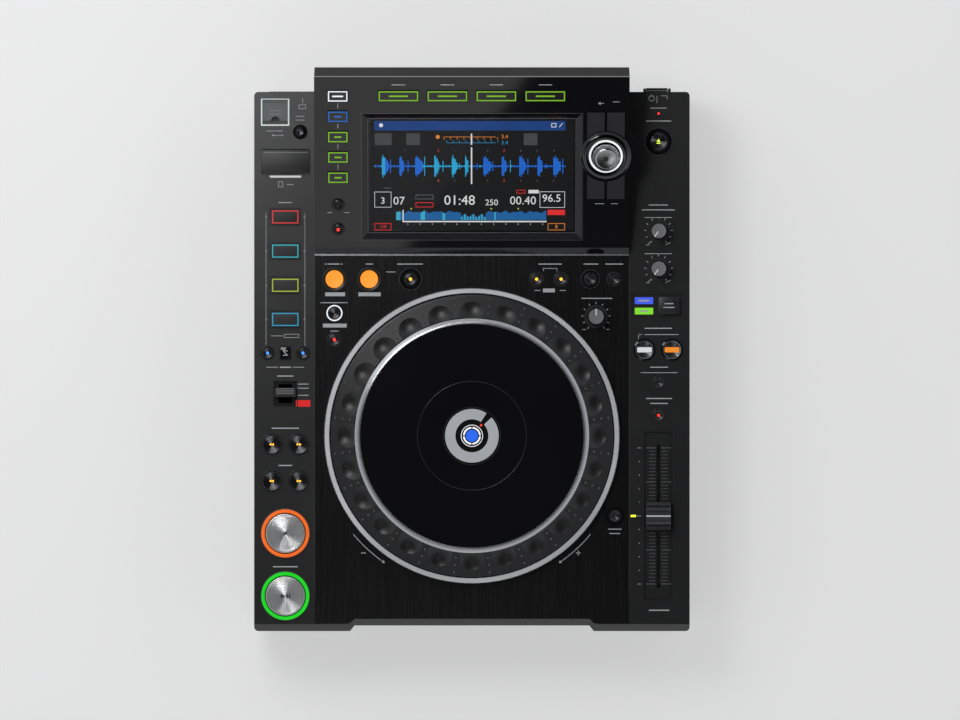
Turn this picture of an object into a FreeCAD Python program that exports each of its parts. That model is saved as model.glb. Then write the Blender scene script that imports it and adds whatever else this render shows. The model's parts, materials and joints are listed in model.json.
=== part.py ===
import FreeCAD, Part
import math
import os

from FreeCAD import Placement, Rotation, Vector

# Tabletop disc player, millimetres. +X right, +Y rear, +Z up.
# The origin is on the table under the middle of the whole outline.

# Overall height, and the strips and margins round the jog wheel and the console
body_height = 118.0
deck_margin = 7.2
jog_front_margin = 35.5
key_band = 25.3
foot_height = 8.0
deck_height = 74.0
case_bottom = 24.0
console_overhang = 17.7
strip_width = 44.6

# Walls, seats and clearances
case_wall = 2.5
top_wall = 3.5
sheet = 1.5
seat_depth = 1.5
front_chamfer = 5.2
corner_radius = 3.0
recess_depth = 4.1
recess_half_width = 86.3
recess_slant = 3.3
clearance = 0.3
running_gap = 0.05
button_travel = 1.0
button_rise = 1.6
flange_width = 1.2
flange_thickness = 1.2

# Console
console_base = 119.1
console_rise = 5.0
console_foot = 4.5
console_facet_height = 30.0
panel_thickness = 3.0
console_wall = 2.5
trim_width = 1.3
trim_height = 1.5
display_width = 153.2
display_depth = 87.9
display_border = 4.5
display_sink = 3.0
glass_thickness = 1.5
screen_thickness = 7.0
display_from_foot = 10.4
key_travel = 0.8
key_rise = 1.2

# Jog wheel
jog_radius = 103.5
jog_skirt_gap = 2.5
jog_trim_gap = 1.2
trim_ring_width = 3.5
trim_ring_height = 5.5
dimple_count = 24
dimple_circle = 95.0
dimple_radius = 7.5
dimple_depth = 1.8
plate_radius = 85.9
plate_thickness = 3.0
plate_chamfer = 3.2
plate_travel = 0.5
jog_rim_low = 5.0
jog_rim_high = 11.5
post_radius = 8.0
display_radius = 20.0
slit_count = 60

# Disc drive
slot_width = 130.0
slot_height = 5.5
slot_centre = 43.0
drive_half_width = 68.0
drive_length = 150.0
spindle_from_front = 77.0
turntable_radius = 15.0
disc_radius = 60.0
roller_radius = 4.4
roller_from_front = 22.0
sled_travel = 36.0
rail_radius = 1.5

# Selector
selector_from_side = 17.3
selector_up_slope = 70.3
selector_bulge = 23.2
selector_bezel_outer = 18.5
selector_ring_outer = 12.6
selector_ring_inner = 10.7
selector_knob_radius = 9.9
selector_cap_radius = 7.6
selector_knob_height = 8.0
flute_count = 12
shaft_radius = 3.0

# Transport buttons and pads
transport_radius = 14.2
transport_ring = 18.0
pad_width = 21.0
pad_depth = 11.2
pad_pitch = 25.1

# Tempo slider
slider_from_front = 84.7
slider_travel = 50.0
slider_cap_width = 18.0
slider_cap_depth = 20.5
slider_cap_height = 11.0
slider_recess_width = 21.0
slider_recess_depth = 1.5
slider_slot = 2.4
slider_stem = 1.7

# Feet, screws and rear sockets
foot_radius = 13.0
screw_radius = 1.5
screw_head = 3.2
boss_radius = 3.5
phono_radius = 4.15
phono_length = 8.5
jack_bore = 1.8

# Worked out from the sizes above
jog_opening = jog_radius + jog_skirt_gap
trim_inner = jog_radius + jog_trim_gap
trim_outer = trim_inner + trim_ring_width
jog_from_front = trim_outer + jog_front_margin
body_width = 2 * (trim_outer + deck_margin + strip_width)
body_depth = jog_from_front + trim_outer + key_band + console_base + console_overhang
half_width = body_width / 2
front = -body_depth / 2
back = body_depth / 2
case_back = back - console_overhang
strip_x = half_width - strip_width / 2
deck_half = half_width - strip_width
deck_floor = deck_height - seat_depth
under_top = deck_height - top_wall
pan_floor = foot_height + sheet
flange_top = deck_floor - 0.2
jog_y = front + jog_from_front
console_front = case_back - console_base
slope_front = console_front + console_foot
slope_foot_height = deck_height + console_rise
slope_back = back - 7.9
slope_angle = math.atan2(body_height - slope_foot_height, slope_back - slope_front)
slope_cos = math.cos(slope_angle)
slope_sin = math.sin(slope_angle)
slope_length = (slope_back - slope_front) / slope_cos
facet_foot = body_height - console_facet_height
selector_x = deck_half - selector_from_side
spindle_y = front + spindle_from_front


def box(x0, x1, y0, y1, z0, z1):
    return Part.makeBox(x1 - x0, y1 - y0, z1 - z0, Vector(x0, y0, z0))


def disc(x, y, z0, z1, radius):
    return Part.makeCylinder(radius, z1 - z0, Vector(x, y, z0))


def tube(x, y, z0, z1, outer, inner):
    return disc(x, y, z0, z1, outer).cut(disc(x, y, z0, z1, inner))


def bar_x(x0, x1, y, z, radius):
    return Part.makeCylinder(radius, x1 - x0, Vector(x0, y, z), Vector(1, 0, 0))


def bar_y(x, y0, y1, z, radius):
    return Part.makeCylinder(radius, y1 - y0, Vector(x, y0, z), Vector(0, 1, 0))


def join(pieces):
    return pieces[0].multiFuse(pieces[1:]).removeSplitter()


def cut(piece, tools):
    return piece.cut(Part.makeCompound(tools))


def prism(points, z0, z1):
    """Upright prism on a plan outline of (x, y) points."""
    ring = [Vector(x, y, z0) for x, y in points]
    face = Part.Face(Part.makePolygon(ring + ring[:1]))
    return face.extrude(Vector(0, 0, z1 - z0))


def prism_x(points, x0, x1):
    """Prism along X on a side outline of (y, z) points."""
    ring = [Vector(x0, y, z) for y, z in points]
    face = Part.Face(Part.makePolygon(ring + ring[:1]))
    return face.extrude(Vector(x1 - x0, 0, 0))


def turned(profile, x=0.0, y=0.0):
    """Solid of revolution about an upright axis, from (radius, z) points."""
    ring = [Vector(x + r, y, z) for r, z in profile]
    face = Part.Face(Part.makePolygon(ring + ring[:1]))
    return face.revolve(Vector(x, y, 0), Vector(0, 0, 1), 360)


def rounded(x0, x1, y0, y1, z0, z1, radius):
    """Box with its four upright edges rounded."""
    block = box(x0, x1, y0, y1, z0, z1)
    upright = [e for e in block.Edges if abs(e.tangentAt(e.FirstParameter).z) > 0.9]
    return block.makeFillet(radius, upright)


def slope_point(v, w):
    """(y, z) of a point v up the console slope and w above its face."""
    y = slope_front + v * slope_cos - w * slope_sin
    z = slope_foot_height + v * slope_sin + w * slope_cos
    return y, z


def on_slope(shape):
    """Moves a shape drawn flat (x, v, w) onto the console slope."""
    y, z = slope_point(0, 0)
    turn = Rotation(Vector(1, 0, 0), math.degrees(slope_angle))
    placed = shape.copy()
    placed.Placement = Placement(Vector(0, y, z), turn).multiply(placed.Placement)
    return placed


# Rows and lines of the controls
left_x = -(half_width - 22.9)
right_x = half_width - 22.9
pad_y = [front + 229.1 + i * pad_pitch for i in range(4)]
play_y = front + 25.9
cue_y = front + 71.9
search_row = front + 110.4
track_row = front + 137.3
lever_y = front + 174.4
bank_row = front + 204.4
card_y = case_back - 53.8
usb_y = case_back - 14.9
usb_stop_y = case_back - 29.4
deck_row = console_front - 18.5
deck_key_x = deck_half - 14.4
knob_rows = [case_back - 102.2, case_back - 130.0]
eject_y = case_back - 36.6
mode_y = front + 239.3
indicator_width = 39.0
indicator_depth = 17.5
indicator_sink = 0.8
sync_row = front + 206.8
range_row = front + 182.8
master_row = front + 158.7
slider_y = front + slider_from_front
reset_x = deck_half - 10.3
usb_width = 18.1
usb_depth = 12.9
card_width = 34.0
card_depth = 15.0
lever_width = 15.5
lever_recess_depth = 18.4
lever_recess_width = 16.9
lever_pivot_drop = 8.0
power_width = 15.6
power_height = 8.0
power_reach = 3.1
power_z = 58.0

# Round keys by node: (x, y, radius)
round_keys = {
    "search_keys": [(left_x + dx, y, 7.2) for y in (search_row, track_row) for dx in (-9.9, 9.9)],
    "bank_keys": [
        (left_x - 13.0, bank_row, 4.3),
        (left_x + 13.0, bank_row, 4.3),
        (left_x + 10.9, usb_stop_y, 3.1),
    ],
    "loop_in_button": [(-deck_key_x, deck_row, 6.4)],
    "loop_out_button": [(-deck_key_x + 25.5, deck_row, 6.4)],
    "loop_keys": [
        (-deck_key_x + 55.9, deck_row, 4.6),
        (-deck_key_x, deck_row - 24.9, 4.9),
        (-deck_key_x, deck_row - 44.5, 4.4),
    ],
    "memory_keys": [
        (deck_key_x - 53.5, deck_row, 4.4),
        (deck_key_x - 35.5, deck_row, 4.4),
        (deck_key_x - 14.0, deck_row, 4.4),
        (deck_key_x + 3.3, deck_row, 4.2),
    ],
    "disc_eject_button": [(right_x, eject_y, 6.4)],
    "mode_keys": [(right_x - 10.3, sync_row, 6.9), (right_x + 9.9, sync_row, 6.9)],
    "tempo_keys": [
        (right_x, range_row, 4.0),
        (right_x, master_row, 4.0),
        (reset_x, slider_y, 3.9),
    ],
    "cue_button": [(left_x, cue_y, transport_radius)],
    "play_button": [(left_x, play_y, transport_radius)],
}

# Square keys by node: (x, y, width, depth)
square_keys = {
    "bank_keys": [(left_x, bank_row, 7.7, 9.2)],
    "jog_mode_key": [(right_x + 7.7, mode_y, 13.6, 11.1)],
    "hot_cue_pad_a": [(left_x, pad_y[3], pad_width, pad_depth)],
    "hot_cue_pad_b": [(left_x, pad_y[2], pad_width, pad_depth)],
    "hot_cue_pad_c": [(left_x, pad_y[1], pad_width, pad_depth)],
    "hot_cue_pad_d": [(left_x, pad_y[0], pad_width, pad_depth)],
}

# Bright rings seated round keys: (x, y, inner radius, outer radius)
key_rings = [
    (-deck_key_x, deck_row, 6.7, 9.2),
    (-deck_key_x + 25.5, deck_row, 6.7, 9.2),
    (-deck_key_x + 55.9, deck_row, 4.9, 8.5),
    (deck_key_x - 14.0, deck_row, 4.7, 7.1),
    (right_x, eject_y, 6.7, 10.5),
    (reset_x, slider_y, 4.2, 6.4),
    (left_x + 10.9, usb_stop_y, 3.4, 5.3),
]
ring_rise = 0.8

# Rotary knobs: node, x, y, radius, height
knobs = {
    "jog_adjust_knob": (deck_key_x - 9.8, deck_row - 27.5, 6.0, 12.0),
    "touch_brake_knob": (right_x, knob_rows[0], 5.8, 13.0),
    "release_start_knob": (right_x, knob_rows[1], 5.8, 13.0),
}
knob_lift = 0.4
knob_shaft = 3.0
knob_turn = 150.0

# Console keys, drawn flat: (x, v, width, depth)
source_v = [54.1 + i * 15.5 for i in range(5)]
source_x = -(deck_half - 17.3)
console_keys = {
    "source_keys": [(source_x, v, 14.6, 8.3) for v in source_v],
    "menu_keys": [(x, 116.2, 29.4, 8.0) for x in (-53.7, -17.9, 17.9, 53.7)],
}
console_caps = [(source_x, 33.2, 3.7), (source_x, 14.5, 3.7)]
selector_key_width = 12.8
selector_key_gap = 1.9
selector_key_low = 37.7
selector_key_high = 103.6

screw_places = [
    (sign * (half_width - 8.5), y)
    for sign in (-1, 1)
    for y in (front + 8.5, front + 157.0, front + 267.0, case_back - 34.3)
]


def case_outline(inset, rear):
    """Plan outline of the case, drawn in by a wall, open or closed at the rear."""
    side = half_width - inset
    low = front + inset
    high = front + recess_depth + inset
    turn = recess_half_width - inset * 0.35
    return [
        (-side, rear), (-side, low), (-turn - recess_slant, low), (-turn, high),
        (turn, high), (turn + recess_slant, low), (side, low), (side, rear),
    ]


def deck_outline(gap):
    """Plan outline of the metal deck plate, drawn in by a gap."""
    edge = deck_half - gap
    low = front + front_chamfer + 0.5 + gap
    high = low + recess_depth - 0.7
    turn = recess_half_width
    rear = console_front - trim_width - gap
    return [
        (-edge, rear), (-edge, low), (-turn - recess_slant, low), (-turn, high),
        (turn, high), (turn + recess_slant, low), (edge, low), (edge, rear),
    ]


def front_top_edges(block, z):
    """Top edges of the front face, with its recess."""
    limit = front + recess_depth + front_chamfer
    return [e for e in block.Edges if all(abs(p.Z - z) < 0.01 and p.Y < limit for p in e.Vertexes)]


def key_hole(x, y, radius):
    """Hole for a round key in the case top, with room under it for the key's flange."""
    return [
        disc(x, y, deck_floor - 1, deck_height + 1, radius + clearance),
        disc(x, y, under_top - 1, deck_floor, radius + flange_width + clearance),
    ]


def square_hole(x, y, width, depth):
    """Hole for a square key in the case top, with room under it for the key's flange."""
    wide = width / 2 + clearance
    deep = depth / 2 + clearance
    low = flange_width
    return [
        box(x - wide, x + wide, y - deep, y + deep, deck_floor - 1, deck_height + 1),
        box(x - wide - low, x + wide + low, y - deep - low, y + deep + low, under_top - 1, deck_floor),
    ]


def on_deck(x, y):
    """True for a control that stands on the metal deck plate."""
    return abs(x) < deck_half and y < console_front


def round_key_list():
    return [key for group in round_keys.values() for key in group]


def case_holes():
    """Everything cut through the top of the upper case."""
    tools = []
    for x, y, radius in round_key_list():
        tools += key_hole(x, y, radius)
    for group in square_keys.values():
        for key in group:
            tools += square_hole(*key)
    for x, y, radius, height in knobs.values():
        tools.append(disc(x, y, under_top - 1, deck_height + 1, knob_shaft + clearance))
    for y in (play_y, cue_y):
        tools.append(disc(left_x, y, deck_floor, deck_height + 1, transport_ring))
    tools.append(disc(0, jog_y, under_top - 5, deck_height + 1, jog_opening))
    wide = indicator_width / 2
    deep = indicator_depth / 2
    tools.append(box(right_x - wide, right_x + wide, mode_y - deep, mode_y + deep,
                     deck_height - indicator_sink, deck_height + 1))
    tools += lever_space() + lid_spaces() + slider_space()
    return tools


def lever_space():
    wide = lever_recess_width / 2
    deep = lever_recess_depth / 2
    return [
        box(left_x - wide, left_x + wide, lever_y - deep, lever_y + deep, deck_floor, deck_height + 1),
        box(left_x - 5, left_x + 5, lever_y - deep + 2, lever_y + deep - 2, under_top - 1, deck_floor + 1),
    ]


def lid_spaces():
    """Openings under the USB lid and the card door, with their hinge pin holes."""
    tools = []
    for x, y, width, depth in (lid_place(), door_place()):
        wide = width / 2 + clearance
        rear = y + depth / 2 + hinge_room
        tools.append(box(x - wide, x + wide, y - depth / 2 - clearance, rear, under_top - 1, deck_height + 1))
        pin_y, pin_z = hinge_line(y, depth)
        reach = wide + hinge_pin_length
        tools.append(bar_x(x - reach, x + reach, pin_y, pin_z, hinge_pin + running_gap))
    return tools


hinge_room = 3.0
hinge_barrel = 1.2
hinge_pin = 0.6
hinge_pin_length = 1.4
lid_thickness = 1.6


def lid_place():
    return left_x - 7.3, usb_y, usb_width, usb_depth


def door_place():
    return left_x + 0.2, card_y + 1.2, card_width, card_depth


def hinge_line(y, depth):
    """(y, z) of a lid's hinge axis, behind its rear edge."""
    return y + depth / 2 + hinge_room - hinge_barrel - clearance, deck_height - hinge_barrel


def slider_space():
    wide = slider_recess_width / 2
    long = slider_travel + slider_cap_depth / 2 + 1.8
    slot = slider_travel + slider_stem + 1.0
    floor = deck_height - slider_recess_depth
    return [
        box(right_x - wide, right_x + wide, slider_y - long, slider_y + long, floor, deck_height + 1),
        box(right_x - slider_slot / 2, right_x + slider_slot / 2, slider_y - slot, slider_y + slot,
            under_top - 1, deck_height),
    ]


def upright_corner(edge):
    """True for the upright edges at the four corners of the case."""
    upright = abs(edge.tangentAt(edge.FirstParameter).z) > 0.9
    return upright and abs(edge.Vertexes[0].X) > half_width - 0.1


def upper_case():
    outer = prism(case_outline(0, case_back), case_bottom, deck_height)
    outer = outer.makeChamfer(front_chamfer, front_top_edges(outer, deck_height))
    outer = outer.makeFillet(corner_radius, [e for e in outer.Edges if upright_corner(e)])
    inner = prism(case_outline(case_wall, case_back + 1), case_bottom - 1, under_top)
    inner = inner.makeChamfer(front_chamfer - case_wall / 2, front_top_edges(inner, under_top))
    shell = outer.cut(inner)
    extra = [disc(x, y, pan_floor, under_top + 1, boss_radius) for x, y in screw_places]
    guard_z = power_z - power_height / 2 - 3
    for side in (-1, 1):
        x = right_x - 1 + side * (power_width / 2 + 1.3)
        extra.append(box(x - 0.9, x + 0.9, rear_outer + 0.2, case_back + power_reach - 0.6, guard_z, deck_height))
    shell = join([shell] + extra)
    tools = [prism(deck_outline(0), deck_floor, deck_height + 1)]
    tools += case_holes()
    for x, y in screw_places:
        tools.append(disc(x, y, pan_floor - 1, pan_floor + 12, screw_radius))
    half_slot = slot_width / 2
    low = slot_centre - slot_height / 2
    tools.append(box(-half_slot, half_slot, front - 1, front + 20, low, low + slot_height))
    rear = case_back - 25
    tools.append(box(10 - deck_half, deck_half - 10, console_front + 13, rear, under_top - 1, deck_height + 1))
    return cut(shell, tools)


rear_outer = case_back - 1.3
rear_inner = rear_outer - sheet
pan_inset = case_wall + clearance
pan_wall_height = 22.0
board_lift = 6.0
board_thickness = 1.6
socket_z = 45.0
network_x = half_width - 64.0
usb_b_x = network_x - 24.0
jack_x = usb_b_x - 22.0
phono_x = [jack_x - 26.0, jack_x - 54.0, jack_x - 74.0]
inlet_x = 35.0 - half_width
inlet_width = 24.0
inlet_height = 16.5


def bottom_chassis():
    top = foot_height + pan_wall_height
    outer = prism(case_outline(pan_inset, rear_outer), foot_height, top)
    inner = prism(case_outline(pan_inset + sheet, rear_inner), pan_floor, top + 1)
    wall_x = half_width - pan_inset
    rear_wall = box(-wall_x, wall_x, rear_inner, rear_outer, pan_floor, under_top - clearance)
    posts = [disc(x, y, pan_floor, pan_floor + board_lift, 3.0) for x, y in board_posts()]
    pan = join([outer.cut(inner), rear_wall] + posts)
    tools = [disc(x, y, foot_height - 1, pan_floor + 1, screw_radius + 0.1) for x, y in screw_places]
    tools += rear_wall_holes() + vent_slots()
    return cut(pan, tools)


def rear_wall_holes():
    def hole(x, wide, high, z=socket_z):
        return box(x - wide / 2, x + wide / 2, rear_inner - 1, rear_outer + 1, z - high / 2, z + high / 2)

    tools = [hole(network_x, 15.0, 13.0), hole(usb_b_x, 12.0, 11.0), hole(inlet_x, 28.0, 21.0)]
    tools.append(hole(right_x - 1, power_width + 0.6, power_height + 0.6, power_z))
    tools.append(hole(network_x + 20, 7.0, 3.0))
    tools += [bar_y(x, rear_inner - 1, rear_outer + 1, socket_z, phono_radius) for x in phono_x]
    tools.append(bar_y(jack_x, rear_inner - 1, rear_outer + 1, socket_z, 3.0))
    return tools


def vent_slots():
    """Rows of slots in the floor and in the rear wall."""
    tools = []
    for i in range(8):
        x = (i - 3.5) * 9.0
        tools.append(box(x - 1.5, x + 1.5, 60, 100, foot_height - 1, pan_floor + 1))
        tools.append(box(x - 66.5, x - 63.5, rear_inner - 1, rear_outer + 1, 34, 56))
    return tools


def board_posts():
    main = [(x, y) for x in (main_board_x[0] + 5, main_board_x[1] - 5) for y in (main_board_y[0] + 5, rear_inner - 12)]
    power = [(x, y) for x in (supply_x[0] + 5, supply_x[1] - 5) for y in (supply_y[0] + 5, supply_y[1] - 5)]
    return main + power


main_board_x = (-55.0, half_width - 20.0)
main_board_y = (20.0, rear_inner - 7)
supply_x = (14.0 - half_width, 85.0 - half_width)
supply_y = (20.0, 140.0)


def deck_plate():
    plate = prism(deck_outline(clearance / 2), deck_floor, deck_height)
    tools = [disc(0, jog_y, deck_floor - 1, deck_height + 1, jog_opening)]
    for x, y, radius in round_key_list():
        if on_deck(x, y):
            tools.append(disc(x, y, deck_floor - 1, deck_height + 1, radius + clearance))
    for x, y, radius, height in knobs.values():
        if on_deck(x, y):
            tools.append(disc(x, y, deck_floor - 1, deck_height + 1, knob_shaft + clearance))
    return cut(plate, tools)


def rubber_feet():
    places = [(x, y) for x in (40 - half_width, half_width - 40) for y in (front + 40, case_back - 40)]
    profile = [(0, 0), (foot_radius - 1.5, 0), (foot_radius, 1.5), (foot_radius, foot_height), (0, foot_height)]
    return [turned(profile, x, y) for x, y in places]


def chassis_screws():
    """Pan head screws that go up through the floor into the case bosses."""
    low = foot_height - 1.8
    tip = pan_floor + 10
    profile = [(0, low), (screw_head, low), (screw_head, foot_height), (screw_radius, foot_height),
               (screw_radius, tip), (0, tip)]
    return [turned(profile, x, y) for x, y in screw_places]


def console_body():
    """Outer form of the console, with the bulge round the selector."""
    profile = [
        (console_front, deck_height), (console_front, deck_height + 1.2), (slope_front, slope_foot_height),
        (slope_back, body_height), (back, facet_foot), (back - 6, deck_height), (case_back, deck_height),
    ]
    block = prism_x(profile, -deck_half, deck_half)
    bulge = on_slope(disc(selector_x, selector_up_slope, -70, 0, selector_bulge))
    bulge = bulge.cut(box(0, half_width, front, back + 50, 0, deck_height))
    return join([block, bulge])


def above_slope(w):
    """All the space more than w above the console face."""
    return on_slope(box(-half_width, half_width, -100, slope_length + 100, w, w + 100))


def slope_block(x, v, width, depth, w0, w1, radius=0.0):
    """Block drawn flat about (x, v) and laid on the console slope."""
    sides = (x - width / 2, x + width / 2, v - depth / 2, v + depth / 2, w0, w1)
    return on_slope(rounded(*sides, radius) if radius else box(*sides))


def slope_disc(x, v, w0, w1, radius):
    return on_slope(disc(x, v, w0, w1, radius))


display_v = display_from_foot + display_depth / 2
plate_low = -panel_thickness - console_wall
flange_low = -panel_thickness - 1.4
source_window = (source_x, source_v[2], 20.0, 4 * 15.5 + 13.0)
menu_window = (0.0, 116.2, 142.0, 13.0)
caps_window = (source_x, 23.9, 13.0, 32.0)
selector_window = (selector_x, 70.6, 34.0, 72.0)


def console_panel():
    """Glossy top panel with openings for the display, the keys and the selector."""
    panel = console_body().common(above_slope(-panel_thickness))
    wide = display_width + 2 * display_border
    deep = display_depth + 2 * display_border
    tools = [slope_block(0, display_v, wide, deep, -10, 10)]
    for group in console_keys.values():
        for x, v, width, depth in group:
            tools.append(slope_block(x, v, width + 2 * clearance, depth + 2 * clearance, -10, 10))
    for x, v, radius in console_caps:
        tools.append(slope_disc(x, v, -10, 10, radius + clearance))
    tools.append(slope_disc(selector_x, selector_up_slope, -10, 10, shaft_radius + running_gap))
    tools += [selector_key(*place, clearance, -10, 10) for place in selector_corners()]
    return cut(panel, tools)


def console_housing():
    """Moulded shell that carries the panel and stands on the case."""
    body = console_body().cut(above_slope(-panel_thickness))
    wall = console_wall
    foot_y, foot_z = slope_point(wall + 2.5, plate_low)
    top_y, top_z = slope_point(slope_length - wall - 0.6, plate_low)
    profile = [
        (console_front + wall + 5, deck_height - 1), (foot_y, foot_z), (top_y, top_z),
        (back - wall - 0.4, facet_foot), (back - 9, deck_height + wall), (case_back - wall, deck_height + wall),
        (case_back - wall, deck_height - 1),
    ]
    tools = [prism_x(profile, wall - deck_half, deck_half - wall)]
    tools.append(slope_block(0, display_v, display_width + 2, display_depth + 2, -20, 10))
    for window in (source_window, menu_window, caps_window, selector_window):
        tools.append(slope_block(*window, -20, 10))
    return cut(body, tools)


def console_trim():
    low = deck_height
    return box(-deck_half, deck_half, console_front - trim_width, console_front, low, low + trim_height)


def display_frame():
    """Frame of the display, its four walls sloping down to the glass."""
    wide = display_width / 2 + display_border
    deep = display_depth / 2 + display_border
    slant = display_border - 0.6

    def ring(dx, dy, w):
        points = [(-dx, -dy), (dx, -dy), (dx, dy), (-dx, dy), (-dx, -dy)]
        return Part.makePolygon([Vector(x, display_v + y, w) for x, y in points])

    block = Part.makeBox(2 * wide, 2 * deep, display_sink, Vector(-wide, display_v - deep, -display_sink))
    hole = Part.makeLoft([
        ring(wide - display_border, deep - display_border, -display_sink - 0.01),
        ring(wide - display_border + slant, deep - display_border + slant, 0.01),
    ], True, True)
    return on_slope(block.cut(hole))


def display_glass():
    top = -display_sink
    return slope_block(0, display_v, display_width + 1.6, display_depth + 1.6, top - glass_thickness, top)


def lcd_module():
    """Display panel in its metal tray, hung from the housing by its side ears."""
    top = -display_sink - glass_thickness
    tray = slope_block(0, display_v, display_width + 1.6, display_depth + 1.6, top - screen_thickness, top)
    ears = [
        slope_block(side * (display_width / 2 + 3), display_v, 8.0, 60.0, plate_low - 1.2, plate_low)
        for side in (-1, 1)
    ]
    return join([tray] + ears)


def flat_key(x, v, width, depth):
    """Key of the console: its cap, and the flange that keeps it in."""
    cap = slope_block(x, v, width, depth, flange_low, key_rise)
    flange = slope_block(x, v, width + 2 * flange_width, depth + 2 * flange_width, flange_low, -panel_thickness - 0.2)
    return join([cap, flange])


def selector_corners():
    """(left, low, high side) of the four keys round the selector."""
    outer = selector_key_width + selector_key_gap / 2
    inner = selector_key_gap / 2
    high = (selector_up_slope, selector_key_high)
    low = (selector_key_low, selector_up_slope)
    return [(sx * inner, sx * outer, v0, v1) for sx in (-1, 1) for v0, v1 in (low, high)]


def selector_key(near, far, v0, v1, gap, w0, w1):
    """Key beside the selector, hollowed by the round bezel."""
    x0, x1 = sorted((selector_x + near, selector_x + far))
    block = box(x0 - gap, x1 + gap, v0 - gap, v1 + gap, w0, w1)
    around = disc(selector_x, selector_up_slope, w0 - 1, w1 + 1, selector_bezel_outer + 0.8 - gap)
    return on_slope(block.cut(around))


def selector_keys():
    keys = []
    for place in selector_corners():
        cap = selector_key(*place, 0.0, flange_low, key_rise)
        flange = selector_key(*place, flange_width - 0.5, flange_low, -panel_thickness - 0.2)
        keys.append(join([cap, flange]))
    return keys


def selector_bezel():
    return on_slope(turned([
        (selector_ring_outer + 0.1, 0), (selector_bezel_outer, 0), (selector_bezel_outer, 0.8),
        (selector_bezel_outer - 1.2, 2.0), (selector_ring_outer + 0.1, 1.4),
    ], selector_x, selector_up_slope))


def selector_shaft():
    """Shaft of the selector. It is pushed in with the knob."""
    return slope_disc(selector_x, selector_up_slope, plate_low - 8, selector_knob_height - 2.0, shaft_radius)


def selector_knob():
    """Fluted knob with a plain turned cap, bored for its shaft."""
    height = selector_knob_height
    body = disc(selector_x, selector_up_slope, key_travel + 0.3, height - 1.2, selector_knob_radius)
    flutes = []
    for i in range(flute_count):
        angle = 2 * math.pi * i / flute_count
        reach = selector_knob_radius + 1.4
        x = selector_x + reach * math.cos(angle)
        v = selector_up_slope + reach * math.sin(angle)
        flutes.append(disc(x, v, -1, height, 2.1))
    cap = turned([
        (0, height - 1.2), (selector_cap_radius, height - 1.2), (selector_cap_radius, height - 0.4),
        (selector_cap_radius - 0.8, height), (0, height),
    ], selector_x, selector_up_slope)
    bore = disc(selector_x, selector_up_slope, -1, height - 2.0 + running_gap, shaft_radius + running_gap)
    return on_slope(join([cut(body, flutes), cap]).cut(bore))


wheel_low = under_top - 4.0
plate_low_z = deck_height + jog_rim_high - 1.0
plate_seat = plate_low_z - plate_travel - 0.3


def jog_trim_ring():
    z = deck_height
    return turned([
        (trim_inner, z), (trim_outer, z), (trim_outer, z + 1.0),
        (trim_inner + 1.2, z + trim_ring_height), (trim_inner, z + trim_ring_height - 0.6),
    ], 0, jog_y)


def jog_wheel():
    """Jog wheel on its hub, with finger dimples and the encoder slits on its skirt."""
    rim_z = deck_height + jog_rim_low
    high_z = deck_height + jog_rim_high
    bore = post_radius + running_gap
    hub = post_radius + 5.0
    seat = plate_radius + clearance
    wheel = turned([
        (bore, wheel_low - 8), (hub, wheel_low - 8), (hub, wheel_low), (88.0, wheel_low),
        (88.0, wheel_low - 6), (89.2, wheel_low - 6), (89.2, wheel_low), (jog_radius, wheel_low),
        (jog_radius, rim_z), (seat + 1.0, high_z), (seat, high_z - 0.6), (seat, plate_seat),
        (seat - 5.0, plate_seat), (seat - 5.0, wheel_low + 3), (hub, wheel_low + 3), (bore, wheel_low + 3),
    ], 0, jog_y)
    ball = (dimple_radius ** 2 + dimple_depth ** 2) / (2 * dimple_depth)
    slope = (jog_rim_high - jog_rim_low) / (jog_radius - seat - 1.0)
    surface = rim_z + (jog_radius - dimple_circle) * slope
    tools = []
    for i in range(dimple_count):
        angle = 2 * math.pi * (i / dimple_count + 0.25)
        x = dimple_circle * math.cos(angle)
        y = jog_y + dimple_circle * math.sin(angle)
        tools.append(Part.makeSphere(ball, Vector(x, y, surface + ball - dimple_depth)))
    slot = Part.makeBox(4.0, 2.2, 4.0, Vector(86.6, -1.1, wheel_low - 7))
    for i in range(slit_count):
        slit = slot.copy()
        slit.rotate(Vector(0, 0, 0), Vector(0, 0, 1), 360.0 * i / slit_count)
        slit.translate(Vector(0, jog_y, 0))
        tools.append(slit)
    return cut(wheel, tools)


def jog_top_plate():
    """Touch plate of the jog wheel. It sinks a little under the hand."""
    low = plate_low_z
    top = low + plate_thickness
    hole = display_radius + clearance
    return turned([
        (hole, low), (plate_radius, low), (plate_radius, low + 0.8),
        (plate_radius - plate_chamfer, top), (hole, top),
    ], 0, jog_y)


def jog_base():
    """Bracket across the jog opening, with the hollow post that the wheel turns on."""
    top = plate_low_z - 0.8
    low = wheel_low - 14.0
    post = tube(0, jog_y, low, top, post_radius, post_radius - 2.0)
    head = tube(0, jog_y, top, plate_low_z, display_radius - 1.0, post_radius - 2.0)
    collar = tube(0, jog_y, low, wheel_low - 8.2, post_radius + 5, post_radius - 2.0)
    reach = jog_opening + 5
    arms = [
        box(-reach, reach, jog_y - 12, jog_y + 12, low - 2, low),
        box(-reach, -reach + 3, jog_y - 12, jog_y + 12, low, under_top),
        box(reach - 3, reach, jog_y - 12, jog_y + 12, low, under_top),
    ]
    base = join([post, head, collar] + arms)
    return cut(base, [disc(0, jog_y, low - 3, low + 1, post_radius - 2.0)])


def jog_display():
    top = plate_low_z + plate_thickness - 0.2
    return disc(0, jog_y, plate_low_z, top, display_radius)


def drive_floor_z():
    return slot_centre - 15.0


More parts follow.
